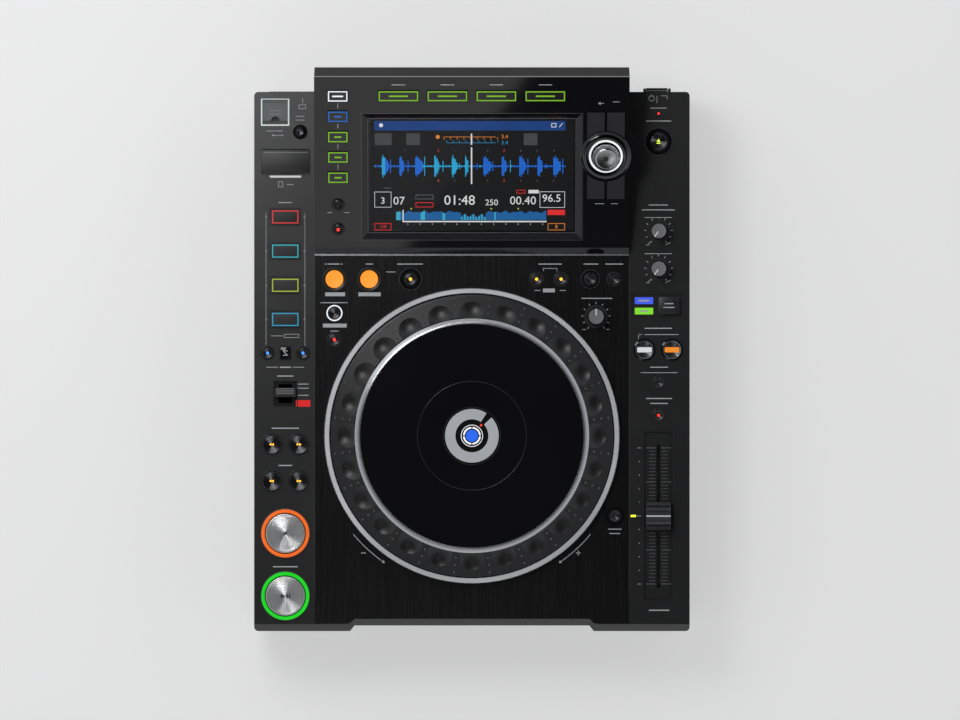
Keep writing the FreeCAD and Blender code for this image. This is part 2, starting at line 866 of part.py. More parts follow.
def drive_frame():
    """Folded steel frame of the slot drive, standing on the floor."""
    rear = front + roller_from_front - 8 + drive_length
    start = front + roller_from_front - 8
    out = drive_half_width + sheet
    roof = slot_centre + slot_height / 2 + 2.0
    side_walls = [
        box(*sorted((s * drive_half_width, s * out)), start, rear, pan_floor, roof) for s in (-1, 1)
    ]
    feet = [
        box(*sorted((s * out, s * (out + 8))), y, y + 14, pan_floor, pan_floor + sheet)
        for s in (-1, 1) for y in (start + 6, rear - 20)
    ]
    tabs = [
        box(*sorted((s * drive_half_width, s * (drive_half_width - 5))), y, y + 12, drive_floor_z() - sheet,
            drive_floor_z())
        for s in (-1, 1) for y in (start + 30, rear - 16)
    ]
    top = box(-out, out, start + 16, rear, roof, roof + sheet)
    frame = join(side_walls + feet + tabs + [top])
    tools = [disc(0, spindle_y, roof - 1, roof + 3, 16.0)]
    tools += [bar_x(s * (drive_half_width - 1) if s > 0 else s * (out + 1), s * (out + 1) if s > 0 else
                    s * (drive_half_width - 1), front + roller_from_front, roller_z, 2.0 + running_gap)
              for s in (-1, 1)]
    return cut(frame, tools)


roller_z = slot_centre - slot_height / 2 - roller_radius - 0.3


def loading_roller():
    """Rubber roller that draws the disc in, thicker towards its ends, on a steel spindle."""
    y = front + roller_from_front
    end = drive_half_width - 3
    half = [(0, 0), (end, 0)]
    spindle = bar_x(-drive_half_width - sheet, drive_half_width + sheet, y, roller_z, 2.0)
    cones = []
    for side in (-1, 1):
        start = Vector(0, y, roller_z)
        cones.append(Part.makeCone(roller_radius - 1.0, roller_radius, half[1][0], start, Vector(side, 0, 0)))
    return join(cones + [spindle])


def turntable():
    """Disc turntable with its centring hub, on the spindle of its motor."""
    z = slot_centre - slot_height / 2 - 2.6
    return turned([
        (0, drive_floor_z() - 6), (1.5, drive_floor_z() - 6), (1.5, z - 2.0), (turntable_radius, z - 2.0),
        (turntable_radius, z), (7.4, z), (7.4, z + 0.8), (5.5, z + 2.0), (0, z + 2.0),
    ], 0, spindle_y)


def pickup_chassis():
    """Plate with the spindle motor and the two rails of the pickup."""
    z = drive_floor_z()
    start = front + roller_from_front + 14
    rear = sled_start + sled_depth + sled_travel + 8
    plate = box(-drive_half_width + clearance, drive_half_width - clearance, start, rear, z, z + sheet)
    window = box(-26, 26, spindle_y + 22, rear - 6, z - 1, z + sheet + 1)
    motor = disc(0, spindle_y, z - 8, z + 3, 12.0)
    rails = [bar_y(x, spindle_y + 17, rear - 2, z + 4.5, rail_radius) for x in (-20, 20)]
    blocks = [
        box(x - 3, x + 3, y, y + 4, z + sheet, z + 7)
        for x in (-20, 20) for y in (spindle_y + 15, rear - 6)
    ]
    body = join([plate.cut(window), motor] + rails + blocks)
    return body.cut(disc(0, spindle_y, z - 7, z + 4, 1.5 + running_gap))


sled_start = spindle_y + 21.0
sled_depth = 14.0


def pickup_sled():
    """Laser pickup on its two rails, with its lens."""
    z = drive_floor_z()
    body = box(-24, 24, sled_start, sled_start + sled_depth, z + 2.2, z + 7)
    lens = turned([(0, z + 7), (4, z + 7), (4, z + 7.8), (2.5, z + 8.3), (0, z + 8.3)], 0, sled_start + 5)
    tools = [
        bar_y(x, sled_start - 1, sled_start + sled_depth + 1, z + 4.5, rail_radius + running_gap)
        for x in (-20, 20)
    ]
    return cut(join([body, lens]), tools)


def fader_unit():
    """Metal channel of the tempo fader, hung under the recess."""
    wide = 7.0
    long = slider_travel + slider_cap_depth / 2 + 1.8
    outer = box(right_x - wide, right_x + wide, slider_y - long, slider_y + long, under_top - 14, under_top)
    inner = box(right_x - wide + 1, right_x + wide - 1, slider_y - long + 1.5, slider_y + long - 1.5,
                under_top - 13, under_top - 1)
    slot = slider_travel + slider_stem + 1.0
    gap = box(right_x - slider_slot / 2, right_x + slider_slot / 2, slider_y - slot, slider_y + slot,
              under_top - 2, under_top + 1)
    return cut(outer, [inner, gap])


def tempo_slider():
    """Ridged cap of the tempo slider, on a flat stem that runs in the fader."""
    floor = deck_height - slider_recess_depth + clearance
    wide = slider_cap_width / 2
    deep = slider_cap_depth / 2
    top = floor + slider_cap_height
    y = slider_y
    profile = [
        (y - deep, floor), (y - deep, floor + 3), (y - deep + 3.2, top - 1.5), (y - deep + 4.4, top),
        (y - 3.4, top - 2.2), (y - 0.6, top - 2.6), (y + 0.6, top - 2.6), (y + 3.4, top - 2.2),
        (y + deep - 4.4, top), (y + deep - 3.2, top - 1.5), (y + deep, floor + 3), (y + deep, floor),
    ]
    cap = prism_x(profile, right_x - wide, right_x + wide)
    half = slider_stem / 2
    stem = box(right_x - half, right_x + half, y - 2.5, y + 2.5, under_top - 9, floor + 1)
    carrier = box(right_x - 5.6, right_x + 5.6, y - 6, y + 6, under_top - 12.7, under_top - 8)
    return join([cap, stem, carrier])


def round_key(x, y, radius, rise=button_rise):
    low = flange_top - flange_thickness
    wide = radius + flange_width
    top = deck_height + rise
    return turned([
        (0, low), (wide, low), (wide, flange_top), (radius, flange_top),
        (radius, top - 0.4), (radius - 0.4, top), (0, top),
    ], x, y)


def square_key(x, y, width, depth):
    low = flange_top - flange_thickness
    wide = width / 2
    deep = depth / 2
    cap = rounded(x - wide, x + wide, y - deep, y + deep, low, deck_height + button_rise, 0.8)
    edge = flange_width
    flange = box(x - wide - edge, x + wide + edge, y - deep - edge, y + deep + edge, low, flange_top)
    return join([cap, flange])


def transport_key(x, y):
    """Large play or cue button with its slightly dished metal face."""
    low = flange_top - flange_thickness
    top = deck_height + button_rise
    return turned([
        (0, low), (transport_radius + flange_width, low), (transport_radius + flange_width, flange_top),
        (transport_radius, flange_top), (transport_radius, top), (transport_radius - 0.6, top + 0.5),
        (transport_radius - 2.0, top + 0.5), (transport_radius / 2, top), (0, top - 0.1),
    ], x, y)


def button_rings():
    """Light rings of the cue and play buttons and bright rings round other keys."""
    z = deck_height
    rings = []
    for y in (play_y, cue_y):
        inner = transport_radius + clearance
        rings.append(turned([
            (inner, deck_floor), (transport_ring, deck_floor), (transport_ring, z),
            (transport_ring - 0.8, z + 1.0), (inner, z + 1.0),
        ], left_x, y))
    rings += [tube(x, y, z, z + ring_rise, outer, inner) for x, y, inner, outer in key_rings]
    glow = tube(selector_x, selector_up_slope, 0, 1.2, selector_ring_outer, selector_ring_inner)
    rings += [on_slope(glow), selector_bezel()]
    return rings


def rotary_knob(x, y, radius, height):
    """Knob with a skirt, a tapered grip and its shaft."""
    z = deck_height + knob_lift
    return turned([
        (0, under_top - 3), (knob_shaft, under_top - 3), (knob_shaft, z), (radius, z), (radius, z + 2.0),
        (radius - 0.6, z + 2.6), (radius - 1.1, z + height - 0.6), (radius - 1.7, z + height), (0, z + height),
    ], x, y)


lever_pivot_z = deck_height - lever_pivot_drop
lever_height = 6.0


def direction_lever():
    """Direction lever: a blade with a thick finger grip, on a cross pin under the case top."""
    y = lever_y + 1.0
    z = deck_height
    wide = lever_width / 2
    grip = prism_x([
        (y - 3.7, z), (y - 3.0, z + lever_height), (y + 3.0, z + lever_height), (y + 3.7, z),
    ], left_x - wide, left_x + wide)
    blade = box(left_x - 4.5, left_x + 4.5, y - 1.5, y + 1.5, lever_pivot_z - 2, z + 1)
    hub = bar_x(left_x - 4.5, left_x + 4.5, y, lever_pivot_z, 2.6)
    pin = bar_x(left_x - 7.5, left_x + 7.5, y, lever_pivot_z, 1.2)
    return join([grip, blade, hub, pin])


def lid(place, notch):
    """Flat lid with its hinge barrel and pins at the rear, and a finger notch in front."""
    x, y, width, depth = place
    wide = width / 2
    top = deck_height
    plate = box(x - wide, x + wide, y - depth / 2, y + depth / 2, top - lid_thickness, top)
    pin_y, pin_z = hinge_line(y, depth)
    barrel = bar_x(x - wide, x + wide, pin_y, pin_z, hinge_barrel)
    neck = box(x - wide, x + wide, y + depth / 2 - 0.5, pin_y, top - lid_thickness, top - lid_thickness + 1.2)
    reach = wide + hinge_pin_length
    pin = bar_x(x - reach, x + reach, pin_y, pin_z, hinge_pin)
    piece = join([plate, barrel, neck, pin])
    return piece.cut(disc(x, y - depth / 2, top - 5, top + 1, notch))


def power_button():
    """Power button in the rear wall, with its inner stem."""
    wide = power_width / 2
    high = power_height / 2
    x = right_x - 1
    cap = box(x - wide, x + wide, rear_inner - 2, case_back + power_reach, power_z - high, power_z + high)
    flange = box(x - wide - 1, x + wide + 1, rear_inner - 2, rear_inner - 0.4, power_z - high - 1, power_z + high + 1)
    return join([cap, flange])


def usb_socket():
    """Metal shell of the USB socket under the lid, with its contact tongue."""
    x, y, width, depth = lid_place()
    top = deck_height - lid_thickness - 0.6
    outer = box(x - 7.2, x + 7.2, y - 3.6, y + 3.6, top - 16, top)
    inner = box(x - 6.4, x + 6.4, y - 2.8, y + 2.8, top - 15, top + 1)
    tongue = box(x - 5.8, x + 5.8, y + 0.2, y + 2.1, top - 15.5, top - 4.8)
    bracket = box(x - width / 2 - 4, x + width / 2 + 4, y - depth / 2 - 3, y + depth / 2 + hinge_room + 2,
                  under_top - 1.2, under_top)
    bracket = bracket.cut(box(x - 7.2, x + 7.2, y - 3.6, y + 3.6, under_top - 2, under_top + 1))
    return join([outer.cut(inner), tongue, bracket])


def card_reader():
    """Card reader under the door, its slot facing up."""
    x, y, width, depth = door_place()
    top = deck_height - lid_thickness - 0.6
    body = box(x - 14, x + 14, y - 3.5, y + 3.5, top - 24, top)
    slot = box(x - 12.3, x + 12.3, y - 1.2, y + 1.2, top - 20, top + 1)
    bracket = box(x - width / 2 - 2, x + width / 2 + 3, y - depth / 2 - 3, y + depth / 2 + hinge_room + 2,
                  under_top - 1.2, under_top)
    bracket = bracket.cut(box(x - 14, x + 14, y - 3.5, y + 3.5, under_top - 2, under_top + 1))
    return join([body.cut(slot), bracket])


def rear_sockets():
    """Sockets of the rear wall: network, USB B, remote jack, coaxial and two phono."""
    face = rear_outer
    z = socket_z
    sockets = []
    shell = box(network_x - 7.5, network_x + 7.5, face - 16, face + 0.6, z - 6.5, z + 6.5)
    sockets.append(shell.cut(box(network_x - 5.9, network_x + 5.9, face - 13, face + 1, z - 4.0, z + 4.0)))
    shell = box(usb_b_x - 6, usb_b_x + 6, face - 14, face + 0.6, z - 5.5, z + 5.5)
    shell = shell.cut(box(usb_b_x - 4.3, usb_b_x + 4.3, face - 12, face + 1, z - 3.9, z + 3.9))
    sockets.append(join([shell, box(usb_b_x - 2.8, usb_b_x + 2.8, face - 12.5, face - 5.0, z - 1.6, z + 1.6)]))
    jack = join([bar_y(jack_x, face - 12, face, z, 3.0), bar_y(jack_x, face, face + 1.5, z, 4.2)])
    sockets.append(jack.cut(bar_y(jack_x, face - 11, face + 2, z, jack_bore)))
    for x in phono_x:
        barrel = join([
            bar_y(x, face - 8, face + phono_length, z, phono_radius), bar_y(x, face, face + 1.2, z, 6.5),
            box(x - 6.5, x + 6.5, face - 12, face - sheet, z - 7, z + 7),
        ])
        sockets.append(barrel.cut(bar_y(x, face - 5, face + phono_length + 1, z, 1.6)))
    return sockets


def power_inlet():
    """Mains inlet with its three blades and its screwed flange."""
    face = rear_outer
    x, z = inlet_x, socket_z
    wide, high = inlet_width / 2, inlet_height / 2
    flange = box(x - 24, x + 24, face, face + 2, z - 12, z + 12)
    body = box(x - 14, x + 14, face - 22, face + 1, z - 10.5, z + 10.5)
    cavity = box(x - wide, x + wide, face - 17, face + 3, z - high, z + high)
    blades = [
        box(x + dx - 2, x + dx + 2, face - 18, face - 3.2, z + dz - 1, z + dz + 1)
        for dx, dz in ((-7, -2), (7, -2), (0, 3))
    ]
    ears = [bar_y(x + dx, face - 1, face + 3, z, 1.7) for dx in (-20, 20)]
    return join([cut(join([flange, body]), [cavity] + ears)] + blades)


def main_board():
    """Main circuit board on its posts, with its processors and capacitors."""
    z = pan_floor + board_lift
    x0, x1 = main_board_x
    y0, y1 = main_board_y
    board = box(x0, x1, y0, y1, z, z + board_thickness)
    top = z + board_thickness
    chips = [box(x, x + 26, y, y + 26, top, top + 2.4) for x, y in ((-20, 60), (40, 70), (85, 110))]
    cans = [disc(x, y0 + 14, top, top + 12, 5.0) for x in (0, 14, 28, 42)]
    return join([board] + chips + cans)


def power_supply():
    """Mains supply board with its transformer, heat sink and capacitors."""
    z = pan_floor + board_lift
    x0, x1 = supply_x
    y0, y1 = supply_y
    board = box(x0, x1, y0, y1, z, z + board_thickness)
    top = z + board_thickness
    parts = [box(x0 + 18, x0 + 50, y0 + 40, y0 + 72, top, top + 26), box(x0 + 6, x0 + 9, y0 + 20, y1 - 20, top, top + 28)]
    parts += [disc(x0 + 20 + 22 * i, y1 - 18, top, top + 24, 9.0) for i in range(2)]
    return join([board] + parts)


def panel_boards():
    """Key boards under the case top and under the console panel."""
    top = under_top - 1.3
    low = top - board_thickness

    def board(x0, x1, y0, y1):
        plate = box(x0, x1, y0, y1, low, top)
        posts = [
            box(x, x + 2, y, y + 2, top, under_top) for x in (x0, x1 - 2) for y in (y0, y1 - 2)
        ]
        return join([plate] + posts)

    boards = [
        board(left_x - 10.5, left_x + 19, play_y - transport_ring - 0.5, track_row - 10),
        board(left_x - 10.5, left_x + 19, bank_row - 12, pad_y[3] + 10),
        board(-deck_half + 3, deck_half - 3, deck_row - 8.5, deck_row + 9.5),
        board(right_x - 14, right_x + 10.5, range_row - 36, mode_y + 9),
    ]
    under = plate_low
    board_low = under - board_thickness
    boards.append(slope_block(*source_window[:2], 26.0, 84.0, board_low, under))
    boards.append(slope_block(*menu_window[:2], 150.0, 17.0, board_low, under))
    right = slope_block(selector_x, selector_up_slope, 28.0, 78.0, board_low, under)
    boards.append(right.cut(slope_disc(selector_x, selector_up_slope, -30, 10, shaft_radius + running_gap)))
    return boards


def round_group(name):
    return [round_key(*key) for key in round_keys[name]]


def square_group(name):
    return [square_key(*key) for key in square_keys[name]]


def console_group(name):
    return [flat_key(*key) for key in console_keys[name]]


def console_cap_keys():
    return [
        join([slope_disc(x, v, flange_low, key_rise + 0.6, r),
              slope_disc(x, v, flange_low, -panel_thickness - 0.2, r + flange_width)])
        for x, v, r in console_caps
    ]


def build_nodes():
    """Every sub-part by its name, as a shape or a list of separate solids."""
    nodes = {
        "bottom_chassis": bottom_chassis(), "upper_case": upper_case(), "deck_plate": deck_plate(),
        "console_housing": console_housing(), "console_panel": console_panel(),
        "console_trim": console_trim(), "display_frame": display_frame(),
        "display_glass": display_glass(), "lcd_module": lcd_module(),
        "jog_trim_ring": jog_trim_ring(), "jog_base": jog_base(), "jog_display": jog_display(),
        "rubber_feet": rubber_feet(), "chassis_screws": chassis_screws(), "main_board": main_board(),
        "power_supply": power_supply(), "drive_frame": drive_frame(),
        "pickup_chassis": pickup_chassis(), "fader_unit": fader_unit(), "button_rings": button_rings(),
        "usb_socket": usb_socket(), "card_reader": card_reader(),
        "rear_sockets": rear_sockets(), "power_inlet": power_inlet(), "panel_boards": panel_boards(),
        "jog_wheel": jog_wheel(), "jog_top_plate": jog_top_plate(), "turntable": turntable(),
        "loading_roller": loading_roller(), "pickup_sled": pickup_sled(),
        "tempo_slider": tempo_slider(), "selector_shaft": selector_shaft(),
        "selector_knob": selector_knob(), "usb_lid": lid(lid_place(), 3.2),
        "sd_door": lid(door_place(), 2.6), "direction_lever": direction_lever(),
        "power_button": power_button(), "play_button": transport_key(left_x, play_y),
        "cue_button": transport_key(left_x, cue_y), "selector_keys": selector_keys(),
        "console_caps": console_cap_keys(),
    }
    for name, (x, y, radius, height) in knobs.items():
        nodes[name] = rotary_knob(x, y, radius, height)
    for name in round_keys:
        if name not in nodes:
            nodes[name] = round_group(name)
    for name in square_keys:
        nodes[name] = nodes.get(name, []) + square_group(name)
    for name in console_keys:
        nodes[name] = console_group(name)
    return nodes


def main():
    os.makedirs("parts", exist_ok=True)
    for name, shape in build_nodes().items():
        if isinstance(shape, list):
            shape = Part.makeCompound(shape) if len(shape) > 1 else shape[0]
        shape.exportStep("parts/" + name + ".step")


if __name__ == "__main__":
    main()
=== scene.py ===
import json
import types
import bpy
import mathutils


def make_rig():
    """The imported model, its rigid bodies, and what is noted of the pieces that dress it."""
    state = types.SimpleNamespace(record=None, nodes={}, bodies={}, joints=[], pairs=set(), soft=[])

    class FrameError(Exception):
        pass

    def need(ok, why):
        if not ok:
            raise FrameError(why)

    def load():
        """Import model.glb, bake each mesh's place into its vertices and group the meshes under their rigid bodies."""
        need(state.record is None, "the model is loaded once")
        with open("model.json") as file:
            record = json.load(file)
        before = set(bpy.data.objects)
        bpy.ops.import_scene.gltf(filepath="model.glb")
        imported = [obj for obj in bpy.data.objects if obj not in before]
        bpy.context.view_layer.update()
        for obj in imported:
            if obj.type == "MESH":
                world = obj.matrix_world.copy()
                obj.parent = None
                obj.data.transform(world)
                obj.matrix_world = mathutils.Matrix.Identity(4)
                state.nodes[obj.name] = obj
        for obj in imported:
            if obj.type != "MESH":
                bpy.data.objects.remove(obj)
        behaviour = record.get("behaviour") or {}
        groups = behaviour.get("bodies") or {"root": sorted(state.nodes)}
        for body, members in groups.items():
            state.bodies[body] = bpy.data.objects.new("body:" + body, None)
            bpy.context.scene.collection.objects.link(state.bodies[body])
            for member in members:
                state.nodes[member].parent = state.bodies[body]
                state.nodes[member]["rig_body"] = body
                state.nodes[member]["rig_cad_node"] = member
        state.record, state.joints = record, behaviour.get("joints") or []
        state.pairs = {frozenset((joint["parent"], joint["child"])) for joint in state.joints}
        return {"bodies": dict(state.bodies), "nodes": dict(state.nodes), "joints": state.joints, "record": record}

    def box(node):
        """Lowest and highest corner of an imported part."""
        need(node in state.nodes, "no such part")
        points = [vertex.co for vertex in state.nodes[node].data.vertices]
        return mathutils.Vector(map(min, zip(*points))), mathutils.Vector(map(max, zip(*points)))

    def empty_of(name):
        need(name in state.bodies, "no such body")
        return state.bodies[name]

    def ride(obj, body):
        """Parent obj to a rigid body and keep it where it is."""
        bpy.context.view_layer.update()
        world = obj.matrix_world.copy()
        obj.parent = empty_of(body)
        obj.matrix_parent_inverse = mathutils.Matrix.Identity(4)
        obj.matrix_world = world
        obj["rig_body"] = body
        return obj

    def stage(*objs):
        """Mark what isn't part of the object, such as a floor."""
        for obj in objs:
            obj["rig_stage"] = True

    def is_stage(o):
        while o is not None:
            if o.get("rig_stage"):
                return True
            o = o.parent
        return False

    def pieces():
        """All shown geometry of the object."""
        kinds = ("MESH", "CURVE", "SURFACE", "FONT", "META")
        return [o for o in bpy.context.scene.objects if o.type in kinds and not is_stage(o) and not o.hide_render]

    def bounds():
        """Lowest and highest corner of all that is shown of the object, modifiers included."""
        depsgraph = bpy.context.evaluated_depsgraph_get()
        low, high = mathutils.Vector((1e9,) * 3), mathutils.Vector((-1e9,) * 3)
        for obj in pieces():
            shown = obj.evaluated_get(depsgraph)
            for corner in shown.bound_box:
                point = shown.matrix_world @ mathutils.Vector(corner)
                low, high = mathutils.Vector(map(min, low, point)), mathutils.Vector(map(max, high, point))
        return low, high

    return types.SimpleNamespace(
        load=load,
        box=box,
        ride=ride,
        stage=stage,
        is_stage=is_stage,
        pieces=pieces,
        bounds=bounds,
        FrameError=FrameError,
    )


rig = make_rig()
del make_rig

bl_info = {
    "name": "Tabletop disc player",
    "version": (1, 0, 0),
    "blender": (4, 5, 0),
    "location": "View3D > Sidebar > Disc player",
    "description": "Dresses the tabletop disc player's frame with its finishes and small pieces",
    "category": "Object",
}

import json
import math
import sys

import bmesh
import bpy
from mathutils import Matrix, Vector

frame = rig.load()
cad_low, cad_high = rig.bounds()

MM = 0.001


def span(node):
    """Lowest and highest corner of a CAD node, in millimetres."""
    low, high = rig.box(node)
    return Vector(low) / MM, Vector(high) / MM


def middle(node):
    """Middle of a CAD node's box, in millimetres."""
    low, high = span(node)
    return (low + high) / 2


# Places read from the frame, millimetres
deck = span("deck_plate")[1].z
wheel_centre = middle("jog_wheel")
plate_top = span("jog_top_plate")[1].z
play_spot = middle("play_button")
cue_spot = middle("cue_button")
left_x = play_spot.x
right_x = middle("tempo_slider").x
selector_x = middle("selector_shaft").x

# The console's slope: its tilt, the y and z of its front edge, and the selector's place up the slope
slope_angle = math.radians(17.4077)
slope_front = 74.7
slope_foot = 79.0
selector_v = 70.3

# Edges flatter than this are shaded smooth
smooth_angle = math.radians(35)

# Sizes that several pieces share, millimetres
print_height = 0.05
print_lift = 0.02
frame_height = 0.06
fit_gap = 0.02
cap_x = -98.1
cap_rows = (33.2, 14.5)
wheel_radius = 103.5
rim_foot = 79.0
rim_slope = 0.399
dimple_count = 24
bead_circles = (90.2, 95.6, 101.0)
arrow_circle = 113.3
slider_travel = 50
recess_sink = 1.5


class PlayerColours(bpy.types.PropertyGroup):
    """Colours of the finishes and lights."""

    case: bpy.props.FloatVectorProperty(
        name="Case", description="Textured plastic of the case", subtype="COLOR", size=3,
        default=(0.013, 0.0133, 0.0142))
    deck: bpy.props.FloatVectorProperty(
        name="Deck", description="Brushed metal deck plate", subtype="COLOR", size=3,
        default=(0.038, 0.038, 0.040))
    trim: bpy.props.FloatVectorProperty(
        name="Trim", description="Bright metal trim", subtype="COLOR", size=3, default=(0.62, 0.62, 0.63))
    legend: bpy.props.FloatVectorProperty(
        name="Legend", description="Printed marks", subtype="COLOR", size=3, default=(0.55, 0.56, 0.58))
    cue: bpy.props.FloatVectorProperty(
        name="Cue light", description="Light ring of the cue button", subtype="COLOR", size=3,
        default=(1.0, 0.17, 0.02))
    play: bpy.props.FloatVectorProperty(
        name="Play light", description="Light ring of the play button", subtype="COLOR", size=3,
        default=(0.01, 0.75, 0.02))


class PlayerSizes(bpy.types.PropertyGroup):
    """Sizes of the added pieces."""

    mark_width: bpy.props.FloatProperty(
        name="Mark width", description="Width of a printed line", unit="LENGTH", default=0.35 * MM)
    glow_width: bpy.props.FloatProperty(
        name="Glow width", description="Width of the lit frame round a pad", unit="LENGTH", default=0.8 * MM)


def colours():
    return bpy.context.scene.player_colours


def sizes():
    return bpy.context.scene.player_sizes


def hairline():
    """Width of a thin printed line, in millimetres."""
    return sizes().mark_width / MM


def glow_line():
    """Width of a lit outline, in millimetres."""
    return sizes().glow_width / MM


def slope_matrix():
    """Takes a shape drawn flat at (x, v, w) onto the console's face."""
    place = Matrix.Translation((0, slope_front * MM, slope_foot * MM))
    return place @ Matrix.Rotation(slope_angle, 4, "X")


# Shader node groups


def group_of(name, inputs, outputs):
    """New node group with its named sockets."""
    tree = bpy.data.node_groups.new(name, "ShaderNodeTree")
    for label, kind, value in inputs:
        socket = tree.interface.new_socket(label, in_out="INPUT", socket_type=kind)
        socket.default_value = value
    for label, kind in outputs:
        tree.interface.new_socket(label, in_out="OUTPUT", socket_type=kind)
    return tree, tree.nodes.new("NodeGroupInput"), tree.nodes.new("NodeGroupOutput")


def group_grain():
    """Fine grain and broad cloudiness of a moulded or painted surface."""
    if "surface grain" in bpy.data.node_groups:
        return bpy.data.node_groups["surface grain"]
    tree, given, result = group_of(
        "surface grain",
        [("Stretch", "NodeSocketVector", (1, 1, 1)), ("Fine", "NodeSocketFloat", 1500.0),
         ("Broad", "NodeSocketFloat", 14.0)],
        [("Grain", "NodeSocketFloat"), ("Cloud", "NodeSocketFloat")])
    place = tree.nodes.new("ShaderNodeTexCoord")
    scale = tree.nodes.new("ShaderNodeVectorMath")
    scale.operation = "MULTIPLY"
    tree.links.new(place.outputs["Object"], scale.inputs[0])
    tree.links.new(given.outputs["Stretch"], scale.inputs[1])
    for size, target, detail in (("Fine", "Grain", 2.0), ("Broad", "Cloud", 3.0)):
        noise = tree.nodes.new("ShaderNodeTexNoise")
        noise.inputs["Detail"].default_value = detail
        tree.links.new(scale.outputs[0], noise.inputs["Vector"])
        tree.links.new(given.outputs[size], noise.inputs["Scale"])
        tree.links.new(noise.outputs["Fac"], result.inputs[target])
    return tree


def group_rings():
    """Concentric turning marks about a point, as a height."""
    if "turning marks" in bpy.data.node_groups:
        return bpy.data.node_groups["turning marks"]
    tree, given, result = group_of(
        "turning marks", [("Centre", "NodeSocketVector", (0, 0, 0)), ("Pitch", "NodeSocketFloat", 8000.0)],
        [("Height", "NodeSocketFloat")])
    place = tree.nodes.new("ShaderNodeTexCoord")
    away = tree.nodes.new("ShaderNodeVectorMath")
    away.operation = "DISTANCE"
    tree.links.new(place.outputs["Object"], away.inputs[0])
    tree.links.new(given.outputs["Centre"], away.inputs[1])
    turns = tree.nodes.new("ShaderNodeMath")
    turns.operation = "MULTIPLY"
    tree.links.new(away.outputs["Value"], turns.inputs[0])
    tree.links.new(given.outputs["Pitch"], turns.inputs[1])
    wave = tree.nodes.new("ShaderNodeMath")
    wave.operation = "SINE"
    tree.links.new(turns.outputs[0], wave.inputs[0])
    tree.links.new(wave.outputs[0], result.inputs["Height"])
    return tree


def blank_material(name):
    """New material with its node tree and its shader."""
    material = bpy.data.materials.new(name)
    material.use_nodes = True
    return material, material.node_tree, material.node_tree.nodes["Principled BSDF"]


def surface(name, colour, rough, metal=0.0, grain=0.15, bump=0.02, fine=1500.0, broad=14.0,
            stretch=(1, 1, 1), coat=0.0, spread=0.12, rough_spread=0.08):
    """Finish with grain in its colour, roughness and bump."""
    if name in bpy.data.materials:
        return bpy.data.materials[name]
    material, tree, shader = blank_material(name)
    grains = tree.nodes.new("ShaderNodeGroup")
    grains.node_tree = group_grain()
    grains.inputs["Stretch"].default_value = stretch
    grains.inputs["Fine"].default_value = fine
    grains.inputs["Broad"].default_value = broad
    both = tree.nodes.new("ShaderNodeMix")
    both.inputs["Factor"].default_value = grain
    tree.links.new(grains.outputs["Cloud"], both.inputs["A"])
    tree.links.new(grains.outputs["Grain"], both.inputs["B"])
    ramp = tree.nodes.new("ShaderNodeValToRGB")
    ramp.color_ramp.elements[0].position = 0.3
    ramp.color_ramp.elements[1].position = 0.7
    ramp.color_ramp.elements[0].color = [c * (1 - spread) for c in colour] + [1]
    ramp.color_ramp.elements[1].color = [min(1, c * (1 + spread)) for c in colour] + [1]
    tree.links.new(both.outputs["Result"], ramp.inputs["Fac"])
    tree.links.new(ramp.outputs["Color"], shader.inputs["Base Color"])
    sheen = tree.nodes.new("ShaderNodeMapRange")
    sheen.inputs["To Min"].default_value = rough - rough_spread
    sheen.inputs["To Max"].default_value = rough + rough_spread
    tree.links.new(both.outputs["Result"], sheen.inputs["Value"])
    tree.links.new(sheen.outputs["Result"], shader.inputs["Roughness"])
    relief = tree.nodes.new("ShaderNodeBump")
    relief.inputs["Strength"].default_value = 0.6
    relief.inputs["Distance"].default_value = bump * MM
    tree.links.new(grains.outputs["Grain"], relief.inputs["Height"])
    tree.links.new(relief.outputs["Normal"], shader.inputs["Normal"])
    shader.inputs["Metallic"].default_value = metal
    shader.inputs["Coat Weight"].default_value = coat
    shader.inputs["Coat Roughness"].default_value = 0.04
    return material


def lit(name, colour, strength, dark=0.03):
    """Lit plastic, a little uneven."""
    if name in bpy.data.materials:
        return bpy.data.materials[name]
    material, tree, shader = blank_material(name)
    grains = tree.nodes.new("ShaderNodeGroup")
    grains.node_tree = group_grain()
    grains.inputs["Broad"].default_value = 60.0
    ramp = tree.nodes.new("ShaderNodeValToRGB")
    ramp.color_ramp.elements[0].color = [c * 0.75 for c in colour] + [1]
    ramp.color_ramp.elements[1].color = list(colour) + [1]
    tree.links.new(grains.outputs["Cloud"], ramp.inputs["Fac"])
    tree.links.new(ramp.outputs["Color"], shader.inputs["Emission Color"])
    shader.inputs["Emission Strength"].default_value = strength
    shader.inputs["Base Color"].default_value = [c * dark for c in colour] + [1]
    shader.inputs["Roughness"].default_value = 0.35
    return material


def spun(name, colour, centre, rough, pitch=9000.0, bump=0.03):
    """Metal or plastic turned about a centre given in millimetres."""
    if name in bpy.data.materials:
        return bpy.data.materials[name]
    material = surface(name, colour, rough, metal=1.0, grain=0.5, bump=0.004, fine=900.0)
    tree = material.node_tree
    rings = tree.nodes.new("ShaderNodeGroup")
    rings.node_tree = group_rings()
    rings.inputs["Centre"].default_value = Vector(centre) * MM
    rings.inputs["Pitch"].default_value = pitch
    relief = tree.nodes.new("ShaderNodeBump")
    relief.inputs["Strength"].default_value = 0.7
    relief.inputs["Distance"].default_value = bump * MM
    tree.links.new(rings.outputs["Height"], relief.inputs["Height"])
    tree.links.new(relief.outputs["Normal"], shader_of(material).inputs["Normal"])
    return material


